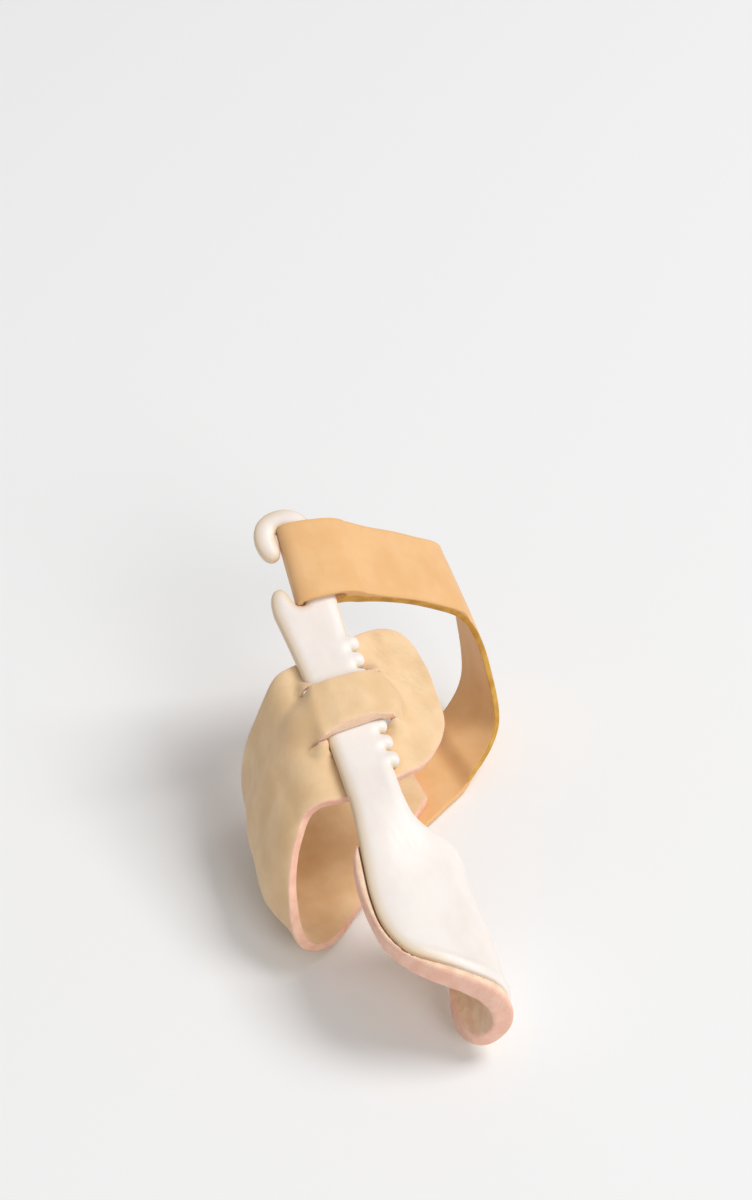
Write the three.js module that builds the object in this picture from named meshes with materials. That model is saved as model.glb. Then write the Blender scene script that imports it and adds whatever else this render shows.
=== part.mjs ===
// A bunion corrector for the left foot: a stiff splint lies along the top of the first toe bone, a padded scoop at
// its front end holds the big toe from the side of the second toe, a foam sling is woven round its middle and goes
// round the ball of the foot and under the sole, and the instep strap that it carries on as is looped into the hook
// at the splint's rear end. Every piece is cut as a flat blank, like the real one, and then draped over the foot.
// Millimetres. +Z is up, +Y points to the heel, +X to the little toe. The origin lies on the sole, under the ball.
import * as THREE from "three";

// The foot that it is made for.
const ballHeight = 36; // from the sole to the underside of the splint, over the ball
const ballSlope = 17; // degrees that the top of the foot rises towards the heel, at the ball
const hookSlope = 27; // the same at the hook
const tipSlope = 8; // the same at the tip of the toe
const medialReach = 27; // from the splint's centre line to the inner side of the ball
const lateralReach = 57; // from the splint's centre line to the outer side of the midfoot
const instepReach = 68; // from the ball line back to the middle of the instep strap, along the floor

// The splint.
const splintThickness = 3.2;
const scoopThickness = 2.4;
const splintRound = 0.8; // radius of its moulded edges
const heelLength = 92.8; // from the ball line to the crown of the hook, along the splint
const toeLength = 68; // from the ball line to the tip of the scoop, along the splint
const hookWidth = 19.2;
const waistWidth = 14.4;
const waistShift = 1.6; // how far the waist lies towards the little toe
const toothRow = 14 / 15; // how much of the edge from the first notch to the hook's shoulder has teeth
const toothDepth = 2.6;
const toothCount = 8;
const toothStart = 6; // from the ball line to the first notch
const armWidth = 6.6; // the arm that curls over the mouth of the hook
const webWidth = 8.5; // what the strap's loop goes round, at the arm
const webFlare = 0.7; // how much wider it is at the prong
const prongReach = 6.6; // how far the prong stands up beside the strap

// The scoop's cross-section, round the toe.
const scoopReach = 19; // from the centre line to the side of the toe
const scoopPinch = 2.2; // how much nearer its side comes at the tip
const scoopTopRadius = 40;
const scoopTilt = 12; // degrees that its top leans towards the second toe
const scoopBend = 24; // degrees that it has turned where its side bend starts
const scoopTuck = 130; // degrees that it has turned at its lower edge
const scoopFloor = 2; // height of its lower edge over the sole
const scoopWrap = 38; // from the centre line to the lower edge, round the toe

// The pad in the scoop.
const padThickness = 3.6;
const padSeat = 0.5; // the glue between it and the scoop

// The sling.
const slingThickness = 3;
const slingWidth = 46;
const slingLength = 105; // from the splint's centre line to its tail, round the foot
const tabReach = 33; // from the splint's centre line to the end of the tab
const slitFront = 18.3; // from the ball line to the front slit, along the foot
const slitRear = 34;
const frontSkew = 7; // degrees that the front slit runs off square to the splint
const rearSkew = 3;
const slitGap = 0.8;
const ramp = 3; // how far past the splint the slits run
const bandSpread = 9; // how far past the slits' ends the band takes to come down, in its middle

// The instep strap.
const strapThickness = 1.8;
const strapWidth = 24;
const strapLength = 128; // from the splint's centre line to its end, round the foot
const strapOverlap = 18; // how much of it is glued to the sling's tail
const strapReturn = 52; // length of the layer that comes back under the splint

const clearance = 0.35; // between pieces that touch

const radians = THREE.MathUtils.degToRad;
const smoothstep = THREE.MathUtils.smoothstep;
const lerp = THREE.MathUtils.lerp;

// The splint's side view is two arcs that meet at the ball. This gives the place and slope at a distance along it.
function profileAt(along) {
  const [reach, endSlope] = along > 0 ? [heelLength, hookSlope] : [-toeLength, tipSlope];
  const start = radians(ballSlope);
  const turn = (radians(endSlope) - start) / reach;
  const slope = start + turn * along;
  return {
    y: (Math.sin(slope) - Math.sin(start)) / turn,
    z: ballHeight + (Math.cos(start) - Math.cos(slope)) / turn,
    slope,
  };
}

// The inverse: how far along the splint a place y lies.
function alongAt(y) {
  const [reach, endSlope] = y > 0 ? [heelLength, hookSlope] : [-toeLength, tipSlope];
  const start = radians(ballSlope);
  const turn = (radians(endSlope) - start) / reach;
  return (Math.asin(THREE.MathUtils.clamp(y * turn + Math.sin(start), -1, 1)) - start) / turn;
}

// An arc walked from its start: how far it has gone across and down, and its heading.
function walkArc(distance, curvature, heading) {
  const next = heading + curvature * distance;
  if (Math.abs(curvature) < 1e-6) {
    return { across: distance * Math.cos(heading), drop: distance * Math.sin(heading), heading };
  }
  return {
    across: (Math.sin(next) - Math.sin(heading)) / curvature,
    drop: (Math.cos(heading) - Math.cos(next)) / curvature,
    heading: next,
  };
}

// The underside of the splint. The bar is flat from side to side, and the scoop curls round the side of the toe.
function splintSurface(along, across) {
  const { y, z, slope } = profileAt(along);
  const curl = smoothstep(-along, 2, 28);
  const tilt = radians(scoopTilt) * curl;
  const bend = radians(scoopBend) * curl;
  const tuck = radians(scoopTuck);
  const reach = scoopReach - scoopPinch * smoothstep(-along, toeLength * 0.6, toeLength);
  // The side bend's radius is what takes it from the top down to the floor of the scoop, inside its reach.
  const sideRadius = (z - scoopFloor - reach * 0.25) / (Math.cos(bend) - Math.cos(tuck));
  const flat = Math.max(4, (reach - sideRadius * (1 - Math.sin(bend))) / Math.cos((tilt + bend) / 2));
  let section;
  if (across < 0) {
    const mirrored = walkArc(-across, curl / scoopTopRadius, -tilt);
    section = { across: -mirrored.across, drop: mirrored.drop, heading: -mirrored.heading };
  } else if (across < flat) {
    section = walkArc(across, (bend - tilt) / flat, tilt);
  } else {
    const top = walkArc(flat, (bend - tilt) / flat, tilt);
    const side = walkArc(across - flat, curl / sideRadius, bend);
    section = { across: top.across + side.across, drop: top.drop + side.drop, heading: side.heading };
  }
  const up = new THREE.Vector3(0, -Math.sin(slope), Math.cos(slope));
  const side = new THREE.Vector3(1, 0, 0);
  const point = new THREE.Vector3(0, y, z).addScaledVector(side, section.across).addScaledVector(up, -section.drop);
  const normal = up.multiplyScalar(Math.cos(section.heading)).addScaledVector(side, Math.sin(section.heading));
  return { point, normal };
}

// The foot inside the straps, as one cross-section that is scaled along the foot. reach is a share of the reach on
// that side, and height a share of the height on top: ball over the ball, and instep where the instep strap lies.
// It runs from the top down the inner side and under the sole.
const footSection = [
  { reach: 0.04, ball: 1, instep: 1 },
  { reach: -0.4, ball: 0.97, instep: 0.97 },
  { reach: -0.7, ball: 0.84, instep: 0.84 },
  { reach: -0.92, ball: 0.6, instep: 0.6 },
  { reach: -1, ball: 0.36, instep: 0.36 },
  { reach: -0.93, ball: 0.13, instep: 0.1 },
  { reach: -0.7, ball: 0.015, instep: 0.01 },
  { reach: -0.2, ball: 0, instep: 0 },
  { reach: 0.45, ball: 0, instep: 0 },
  { reach: 0.8, ball: 0.015, instep: 0.01 },
  { reach: 0.97, ball: 0.13, instep: 0.12 },
  { reach: 0.99, ball: 0.32, instep: 0.46 },
  { reach: 0.88, ball: 0.54, instep: 0.74 },
  { reach: 0.66, ball: 0.73, instep: 0.86 },
  { reach: 0.38, ball: 0.9, instep: 0.955 },
  { reach: 0.16, ball: 0.985, instep: 1 },
];

// The reaches along the foot: back is a share of the instep reach, the others are shares of the reach on that side.
const footReaches = [
  { back: -0.5, medial: 0.66, lateral: 1 },
  { back: -0.22, medial: 0.88, lateral: 1.06 },
  { back: 0, medial: 1.02, lateral: 1.1 },
  { back: 0.22, medial: 0.97, lateral: 1.08 },
  { back: 0.5, medial: 0.85, lateral: 1.03 },
  { back: 0.75, medial: 0.66, lateral: 1 },
  { back: 1, medial: 0.62, lateral: 0.98 },
  { back: 1.4, medial: 0.6, lateral: 0.97 },
];

const sectionCurve = new THREE.CatmullRomCurve3(
  footSection.map(({ reach, ball, instep }) => new THREE.Vector3(reach, ball, instep)),
  true,
  "centripetal",
);

function reachesAt(y) {
  const last = footReaches.length - 1;
  const back = THREE.MathUtils.clamp(y / instepReach, footReaches[0].back, footReaches[last].back);
  const right = Math.max(1, footReaches.findIndex((row) => row.back >= back));
  const left = footReaches[right - 1];
  const share = smoothstep(back, left.back, footReaches[right].back);
  const medial = lerp(left.medial, footReaches[right].medial, share) * medialReach;
  return { medial, lateral: lerp(left.lateral, footReaches[right].lateral, share) * lateralReach };
}

// How far the skin lies under the splint: the sling's margins and the strap's return pass between them.
const skinDrop = slingThickness + clearance;

function footPoint(turn, y) {
  const shape = sectionCurve.getPoint(((turn % 1) + 1) % 1);
  const { medial, lateral } = reachesAt(y);
  const { z, slope } = profileAt(alongAt(y));
  const top = z - skinDrop / Math.cos(slope);
  const x = shape.x * (shape.x < 0 ? medial : lateral);
  const height = lerp(shape.y, shape.z, smoothstep(y / instepReach, 0.6, 1));
  // Under the splint's width the top is flat.
  const level = height > 0.5 ? lerp(1, height, smoothstep(Math.abs(x), hookWidth * 0.5, hookWidth * 0.95)) : height;
  return new THREE.Vector3(x, y, level * top);
}

function footSurface(turn, y) {
  const point = footPoint(turn, y);
  const along = footPoint(turn, y + 1).sub(footPoint(turn, y - 1));
  const round = footPoint(turn + 0.004, y).sub(footPoint(turn - 0.004, y));
  return { point, normal: along.cross(round).normalize() };
}

// Turns distances round the foot, from over the splint's centre line and inwards, into shares of the section.
function tapeAt(y) {
  const steps = 240;
  const marks = [];
  let length = 0;
  let previous = footPoint(-0.5, y);
  let zero = 0;
  for (let i = 0; i <= 2 * steps; i++) {
    const turn = i / steps - 0.5;
    const point = footPoint(turn, y);
    length += point.distanceTo(previous);
    if (previous.x > 0 && point.x <= 0 && point.z > ballHeight / 2 && Math.abs(turn) < 0.2) zero = length;
    marks.push({ length, turn });
    previous = point;
  }
  return (distance) => {
    const target = distance + zero;
    const right = Math.max(1, marks.findIndex((mark) => mark.length >= target));
    const [a, b] = [marks[right - 1], marks[right]];
    return lerp(a.turn, b.turn, (target - a.length) / (b.length - a.length));
  };
}

// Triangles between flat points, those whose circles hold no other point.
function triangulate(points) {
  // A hair of unevenness keeps four points off one circle.
  const sites = points.map(({ x, y }, i) => ({ x: x + 2e-6 * Math.sin(13 * i), y: y + 2e-6 * Math.cos(78 * i) }));
  const count = sites.length;
  sites.push({ x: -9e3, y: -9e3 }, { x: 9e3, y: -9e3 }, { x: 0, y: 9e3 });
  const circled = (a, b, c) => {
    const [p, q, r] = [sites[a], sites[b], sites[c]];
    const [bx, by, cx, cy] = [q.x - p.x, q.y - p.y, r.x - p.x, r.y - p.y];
    const twice = 2 * (bx * cy - by * cx);
    const [bb, cc] = [bx * bx + by * by, cx * cx + cy * cy];
    const [x, y] = [(cy * bb - by * cc) / twice, (bx * cc - cx * bb) / twice];
    return { corners: [a, b, c], x: p.x + x, y: p.y + y, squared: x * x + y * y };
  };
  let faces = [circled(count, count + 1, count + 2)];
  for (let i = 0; i < count; i++) {
    const rim = new Map();
    faces = faces.filter((face) => {
      if ((sites[i].x - face.x) ** 2 + (sites[i].y - face.y) ** 2 >= face.squared) return true;
      face.corners.forEach((a, k) => {
        const b = face.corners[(k + 1) % 3];
        if (!rim.delete(`${b}:${a}`)) rim.set(`${a}:${b}`, [a, b]);
      });
      return false;
    });
    for (const [a, b] of rim.values()) faces.push(circled(a, b, i));
  }
  return faces.map((face) => face.corners).filter((corners) => corners.every((k) => k < count));
}

function isInside(point, ring) {
  let inside = false;
  ring.forEach((a, i) => {
    const b = ring[(i + 1) % ring.length];
    if (a.y > point.y !== b.y > point.y && point.x < a.x + ((b.x - a.x) * (point.y - a.y)) / (b.y - a.y)) {
      inside = !inside;
    }
  });
  return inside;
}

// Moves a ring of points to its own left by an inset, so that every edge moves by it.
function insetRing(ring, inset) {
  return ring.map((point, i) => {
    const before = point.clone().sub(ring.at(i - 1)).normalize();
    const after = ring[(i + 1) % ring.length].clone().sub(point).normalize();
    const bisector = before.add(after).normalize();
    const reach = inset / Math.max(0.6, bisector.dot(after));
    return new THREE.Vector2(point.x - bisector.y * reach, point.y + bisector.x * reach);
  });
}

// Cuts long edges of a ring into equal pieces.
function evenRing(ring, longest) {
  return ring.flatMap((point, i) => {
    const next = ring[(i + 1) % ring.length];
    const pieces = Math.max(1, Math.ceil(point.distanceTo(next) / longest));
    return Array.from({ length: pieces }, (_, k) => point.clone().lerp(next, k / pieces));
  });
}

// Makes a draped blank. The outline runs anticlockwise and its holes clockwise, and creases are places inside it that
// need points of their own. place(x, y, level) gives the point for a place on the blank, and for a level from 0
// (its underside) to 1 (its top).
function blank(outline, holes, { thickness, round, grain, place, creases = [] }) {
  const rings = [outline, ...holes].map((ring) => evenRing(ring, grain));
  const steps = round > 0.5 ? 2 : 1;
  const layers = [];
  for (let k = 0; k <= steps; k++) {
    const angle = (k / steps) * (Math.PI / 2);
    layers.push({ inset: round * (1 - Math.sin(angle)), height: round * (1 - Math.cos(angle)) });
  }
  const edge = [...layers, ...layers.map(({ inset, height }) => ({ inset, height: thickness - height })).reverse()];

  const inner = rings.map((ring) => insetRing(ring, round));
  const flat = inner.flat();
  const box = new THREE.Box2().setFromPoints(flat);
  const rowHeight = grain * Math.sqrt(0.75);
  flat.push(...creases);
  const edgePoints = flat.length;
  for (let row = 1; box.min.y + row * rowHeight < box.max.y; row++) {
    for (let column = 0; box.min.x + column * grain < box.max.x; column++) {
      const point = new THREE.Vector2(box.min.x + (column + (row % 2) / 2) * grain, box.min.y + row * rowHeight);
      const clear = flat.slice(0, edgePoints).every((other) => other.distanceTo(point) > grain * 0.62);
      if (clear && isInside(point, inner[0]) && !inner.slice(1).some((ring) => isInside(point, ring))) flat.push(point);
    }
  }
  const cap = triangulate(flat).filter((corners) => {
    const centre = corners.reduce((sum, k) => sum.add(flat[k]), new THREE.Vector2()).divideScalar(3);
    return isInside(centre, inner[0]) && !inner.slice(1).some((ring) => isInside(centre, ring));
  });

  const points = [];
  const faces = [];
  const put = ({ x, y }, height) => points.push(place(x, y, height / thickness)) - 1;
  // The two caps share the plan of their triangles, and the rings between them close the edges.
  const under = flat.map((point) => put(point, 0));
  const over = flat.map((point) => put(point, thickness));
  for (const [a, b, c] of cap) faces.push(under[a], under[c], under[b], over[a], over[b], over[c]);
  let start = 0;
  for (const ring of rings) {
    const count = ring.length;
    const first = start;
    const loops = edge.map(({ inset, height }, level) => {
      if (level === 0) return ring.map((_, i) => under[first + i]);
      if (level === edge.length - 1) return ring.map((_, i) => over[first + i]);
      return insetRing(ring, inset).map((point) => put(point, height));
    });
    for (let level = 1; level < loops.length; level++) {
      for (let i = 0; i < count; i++) {
        const [a, b] = [loops[level - 1][i], loops[level - 1][(i + 1) % count]];
        const [c, d] = [loops[level][i], loops[level][(i + 1) % count]];
        faces.push(a, b, d, a, d, c);
      }
    }
    start += count;
  }
  const geometry = new THREE.BufferGeometry().setFromPoints(points);
  geometry.setIndex(faces);
  geometry.computeVertexNormals();
  return geometry;
}

function piece(name, geometry, colour, roughness) {
  const material = new THREE.MeshStandardMaterial({ color: colour, roughness, metalness: 0 });
  const mesh = new THREE.Mesh(geometry, material);
  mesh.name = name;
  return mesh;
}

// A closed smooth curve through a table of places, as points about one step apart.
function smoothRing(places, step, closed = true) {
  const curve = new THREE.CatmullRomCurve3(places.map(([x, y]) => new THREE.Vector3(x, y, 0)), closed);
  const count = Math.round(curve.getLength() / step);
  const points = curve.getSpacedPoints(count).map(({ x, y }) => new THREE.Vector2(x, y));
  if (closed) points.pop();
  return points;
}

// The bar's two edges at a place along it. It widens from the waist, just behind the scoop, to the hook.
function barEdges(along) {
  const share = THREE.MathUtils.clamp((along / heelLength - 0.11) / 0.56, 0, 1) ** 2;
  const half = lerp(waistWidth, hookWidth, share) / 2;
  const shift = waistShift * (1 - share);
  return { left: shift - half, right: shift + half };
}

// The outline of the scoop, from the bar's left side round the tip to its right side.
// along is a share of the toe length, across a share of the wrap.
const scoopOutline = [
  { along: -0.03, across: -0.147 },
  { along: -0.09, across: -0.155 },
  { along: -0.17, across: -0.174 },
  { along: -0.33, across: -0.216 },
  { along: -0.47, across: -0.245 },
  { along: -0.6, across: -0.24 },
  { along: -0.7, across: -0.184 },
  { along: -0.757, across: -0.108 },
  { along: -0.828, across: 0.126 },
  { along: -0.887, across: 0.347 },
  { along: -0.925, across: 0.56 },
  { along: -0.94, across: 0.69 },
  { along: -0.925, across: 0.8 },
  { along: -0.86, across: 0.88 },
  { along: -0.72, across: 0.91 },
  { along: -0.56, across: 0.88 },
  { along: -0.45, across: 0.81 },
  { along: -0.37, across: 0.72 },
  { along: -0.31, across: 0.62 },
  { along: -0.272, across: 0.518 },
  { along: -0.24, across: 0.408 },
  { along: -0.2, across: 0.31 },
  { along: -0.144, across: 0.25 },
  { along: -0.05, across: 0.23 },
];

// How long the mouth of the hook is: the strap's width and room on both sides.
const mouthLength = strapWidth + 4 * clearance;

// Where the bar starts to widen into the hook, and how far apart the teeth are up to there.
const shoulder = heelLength - armWidth - mouthLength - 8;
const toothPitch = ((shoulder - toothStart) * toothRow) / toothCount;

// The whole splint's outline: scoop, toothed bar, and the hook with its mouth to the left.
function splintOutline() {
  const scoop = scoopOutline.map(({ along, across }) => [across * scoopWrap, along * toeLength]);
  const shape = new THREE.Shape(smoothRing(scoop, 3, false));
  // Up the right side: rounded teeth with narrow notches between them.
  for (let i = 0; i < toothCount; i++) {
    const foot = toothStart + (i - 0.1) * toothPitch;
    const edge = barEdges(foot).right;
    const tip = edge + toothDepth;
    const at = (share) => foot + toothPitch * share;
    shape.lineTo(edge, foot);
    shape.bezierCurveTo(lerp(edge, tip, 0.7), at(0), tip, at(0.12), tip, at(0.42));
    shape.bezierCurveTo(tip, at(0.68), lerp(edge, tip, 0.75), at(0.8), edge, at(0.92));
  }
  const top = heelLength;
  const right = hookWidth / 2;
  const mouthTop = top - armWidth;
  const mouthFoot = mouthTop - mouthLength;
  const webLeft = right - webWidth;
  const left = -hookWidth / 2;
  shape.lineTo(barEdges(shoulder).right, shoulder);
  shape.lineTo(right, mouthFoot);
  shape.lineTo(right, top - 8);
  shape.bezierCurveTo(right - 0.4, top - 2.5, right - 4.6, top, right - 8, top);
  shape.bezierCurveTo(left + 5.6, top, left + 1.6, top - 3, left + 1.4, top - 9);
  shape.bezierCurveTo(left + 1.4, top - 13, left + 3, top - 16, left + 5, top - 16);
  shape.bezierCurveTo(left + 7.4, top - 16, left + 8.2, top - 13.5, left + 7.8, top - 11);
  shape.bezierCurveTo(left + 7.6, top - 8.8, webLeft - 3.4, mouthTop, webLeft - 0.9, mouthTop);
  shape.quadraticCurveTo(webLeft, mouthTop, webLeft, mouthTop - 0.9);
  const webFoot = webLeft - webFlare;
  shape.lineTo(webFoot, mouthFoot + 0.9);
  shape.quadraticCurveTo(webFoot, mouthFoot, webFoot - 0.9, mouthFoot);
  const prongTop = mouthFoot + prongReach;
  shape.bezierCurveTo(left + 5.8, mouthFoot, left + 6.8, prongTop, left + 4, prongTop);
  shape.bezierCurveTo(left + 1, prongTop, left + 0.4, mouthFoot + 2.5, left + 0.5, mouthFoot - 1.5);
  for (const share of [0.9, 0.8, 0.7, 0.6, 0.5, 0.4, 0.2]) {
    const along = mouthFoot * share;
    shape.lineTo(barEdges(along).left, along);
  }
  return shape.getPoints(4).filter((point, i, all) => point.distanceTo(all.at(i - 1)) > 0.05);
}

function splint() {
  const geometry = blank(splintOutline(), [], {
    thickness: splintThickness,
    round: splintRound,
    grain: 3.5,
    place: (across, along, level) => {
      const { point, normal } = splintSurface(along, across);
      const thickness = lerp(splintThickness, scoopThickness, smoothstep(-along, 8, 30));
      return point.addScaledVector(normal, level * thickness);
    },
  });
  return piece("splint", geometry, 0xf6f0ea, 0.35);
}

// The pad's outline, in the same terms as the scoop's.
const padOutline = [
  { along: -0.2, across: 0.04 },
  { along: -0.195, across: -0.1 },
  { along: -0.24, across: -0.225 },
  { along: -0.32, across: -0.279 },
  { along: -0.44, across: -0.305 },
  { along: -0.578, across: -0.295 },
  { along: -0.68, across: -0.255 },
  { along: -0.765, across: -0.16 },
  { along: -0.83, across: -0.026 },
  { along: -0.885, across: 0.15 },
  { along: -0.945, across: 0.36 },
  { along: -0.985, across: 0.56 },
  { along: -1, across: 0.74 },
  { along: -0.985, across: 0.92 },
  { along: -0.9, across: 1.05 },
  { along: -0.72, across: 1.1 },
  { along: -0.54, across: 1.02 },
  { along: -0.38, across: 0.76 },
  { along: -0.31, across: 0.5 },
  { along: -0.25, across: 0.24 },
];

function toePad() {
  const outline = smoothRing(padOutline.map(({ along, across }) => [across * scoopWrap, along * toeLength]), 3.4);
  const geometry = blank(outline, [], {
    thickness: padThickness,
    round: 0.6,
    grain: 3.5,
    place: (across, along, level) => {
      const { point, normal } = splintSurface(along, across);
      return point.addScaledVector(normal, (level - 1) * padThickness - padSeat);
    },
  });
  return piece("toe_pad", geometry, 0xf7d3bd, 0.85);
}

// The edges of the sling, from the tab inwards and under the sole. around is a share of the sling's length, and front
// and rear are shares of its width from the ball line.
const slingEdges = [
  { around: -0.3, front: 0.56, rear: 1.04 },
  { around: -0.27, front: 0.4, rear: 1.11 },
  { around: -0.2, front: 0.21, rear: 1.12 },
  { around: -0.1, front: 0.09, rear: 1.03 },
  { around: 0.05, front: 0.03, rear: 0.95 },
  { around: 0.13, front: 0.03, rear: 0.91 },
  { around: 0.18, front: -0.04, rear: 0.86 },
  { around: 0.24, front: -0.13, rear: 0.85 },
  { around: 0.31, front: -0.22, rear: 0.85 },
  { around: 0.38, front: -0.31, rear: 0.82 },
  { around: 0.46, front: -0.38, rear: 0.77 },
  { around: 0.56, front: -0.34, rear: 0.78 },
  { around: 0.7, front: -0.08, rear: 0.86 },
  { around: 0.85, front: 0.32, rear: 0.99 },
  { around: 1, front: 0.66, rear: 1.2 },
];

function slingOutline() {
  const [front, rear] = ["front", "rear"].map((edge) =>
    slingEdges.map((row) => [-row.around * slingLength, row[edge] * slingWidth]),
  );
  const tab = [tabReach, slingWidth * 0.86];
  const bottom = smoothRing([tab, ...front], 4, false);
  const top = smoothRing([tab, ...rear], 4, false);
  return [...bottom.reverse(), ...top.slice(1)];
}

// The slits, front and rear. middle is how far a slit lies from the ball line over the splint's centre line.
const slits = [
  { middle: slitFront, lean: Math.tan(radians(frontSkew)) },
  { middle: slitRear, lean: Math.tan(radians(rearSkew)) },
];
// The bar and its teeth, where the slits cross them: their middle and half their width.
const barMiddle = (waistShift + toothDepth) / 2 + 0.6;
const barHalf = (waistWidth + toothDepth) / 2 + 0.6;

// A slit across the sling, clockwise. Its two lips are sampled alike.
function slitRing({ middle, lean }) {
  const half = barHalf + ramp;
  const steps = 9;
  const lip = (side) =>
    Array.from({ length: steps + 1 }, (_, i) => {
      const x = lerp(-half, half, i / steps) + barMiddle;
      const taper = i === 0 || i === steps ? 0.25 : 0.5;
      return new THREE.Vector2(x, middle + lean * x + side * slitGap * taper);
    });
  return [...lip(1), ...lip(-1).reverse()];
}

const slingTape = tapeAt(slingWidth / 2);

// How far the sling stands off the skin. Between the slits the band goes over the bar like a tent: it comes down
// at once beside the slits' ends, and slowly in its middle.
function bandRise(across, y) {
  const [front, rear] = slits.map(({ middle, lean }) => middle + lean * across);
  const share = (y - front) / (rear - front);
  if (share <= 0 || share >= 1) return 0;
  const bridge = splintThickness + slingThickness + 2 * clearance;
  const spread = ramp - 0.5 + bandSpread * 4 * share * (1 - share);
  const off = Math.abs(across - barMiddle) - barHalf - 0.5;
  return bridge * (1 - THREE.MathUtils.clamp(off / spread, 0, 1)) ** 2;
}

function ballSling() {
  const creases = [];
  for (const off of [0.5, ramp * 0.4, ramp * 0.7, ramp]) {
    for (let i = 1; i < 6; i++) {
      for (const side of [-1, 1]) {
        const x = side * (barHalf + off) + barMiddle;
        const [front, rear] = slits.map(({ middle, lean }) => middle + lean * x);
        creases.push(new THREE.Vector2(x, lerp(front, rear, i / 6)));
      }
    }
  }
  const geometry = blank(slingOutline(), slits.map(slitRing), {
    thickness: slingThickness,
    round: 0.6,
    grain: 4,
    creases,
    place: (across, y, level) => {
      const { point, normal } = footSurface(slingTape(-across), y);
      return point.addScaledVector(normal, bandRise(across, y) + level * slingThickness);
    },
  });
  return piece("ball_sling", geometry, 0xebcda0, 0.7);
}

// The instep strap, from the fold in the hook outwards and under the sole. around is a share of its length, back how
// far its middle lies behind the middle of the hook's mouth, and width its width along the foot, both as shares of
// its own width.
const strapEdges = [
  { around: -0.06, back: 0, width: 0.86 },
  { around: 0.02, back: 0, width: 0.87 },
  { around: 0.09, back: 0.01, width: 0.89 },
  { around: 0.16, back: 0.06, width: 0.91 },
  { around: 0.24, back: 0.06, width: 0.89 },
  { around: 0.34, back: 0.06, width: 0.89 },
  { around: 0.45, back: 0.1, width: 0.98 },
  { around: 0.58, back: -0.04, width: 1.08 },
  { around: 0.7, back: -0.45, width: 1.07 },
  { around: 0.82, back: -0.9, width: 1.1 },
  { around: 1, back: -1.55, width: 1.12 },
];

const strapTape = tapeAt(instepReach);

// The strap's section along its length: across runs outwards from the splint's centre line, height over the skin.
// It goes over the web of the hook, round it and back beneath, and the two layers are glued where they meet.
function strapSection() {
  const web = { left: hookWidth / 2 - webWidth - clearance, right: hookWidth / 2 + clearance };
  const under = skinDrop - clearance;
  const over = skinDrop + splintThickness + clearance;
  const join = web.right + 9;
  const end = strapLength;
  const seam = end - strapOverlap;
  const lift = slingThickness + clearance;
  const shape = new THREE.Shape();
  const t = strapThickness;
  shape.moveTo(web.left + 1.5, under - t);
  shape.lineTo(web.right, under - t);
  shape.bezierCurveTo(web.right + 3, under - t, join - 5, 0, join, 0);
  shape.lineTo(seam - 8, 0);
  shape.bezierCurveTo(seam - 5, 0, seam - 4, lift, seam - 1, lift);
  shape.lineTo(end, lift);
  shape.lineTo(end, lift + t);
  shape.lineTo(seam - 1, lift + t);
  shape.bezierCurveTo(seam - 5, lift + t, seam - 5, t, seam - 9, t);
  shape.lineTo(strapReturn + 4, t);
  shape.bezierCurveTo(strapReturn + 2, t, strapReturn + 1, 2 * t, strapReturn - 3, 2 * t);
  shape.lineTo(join + 1, 2 * t);
  shape.bezierCurveTo(join - 3, 2 * t, web.right + 3.5, over + t, web.right - 1, over + t);
  shape.lineTo(web.left + 2.5, over + t);
  shape.bezierCurveTo(web.left - 0.5, over + t, web.left - t, over + t - 1.5, web.left - t, over - 0.5);
  shape.lineTo(web.left - t, under + 0.5);
  shape.bezierCurveTo(web.left - t, under - 1, web.left - 0.5, under - t, web.left + 1.5, under - t);
  const hole = new THREE.Path();
  hole.moveTo(web.left, under + 0.6);
  hole.lineTo(web.left, over - 0.6);
  hole.quadraticCurveTo(web.left, over, web.left + 0.6, over);
  hole.lineTo(web.right - 0.8, over);
  hole.bezierCurveTo(web.right + 2, over - 0.2, join - 4.5, t + 0.9, join - 2, t + 0.4);
  hole.bezierCurveTo(join - 4.5, t + 0.1, web.right + 3, under, web.right, under);
  hole.lineTo(web.left + 0.6, under);
  hole.quadraticCurveTo(web.left, under, web.left, under + 0.6);
  const tidy = (points) => {
    const apart = points.filter((point, i, all) => point.distanceTo(all.at(i - 1)) > 0.05);
    return evenRing(apart, strapThickness * 1.4);
  };
  return { outline: tidy(shape.getPoints(4)), hole: tidy(hole.getPoints(4)) };
}

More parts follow.
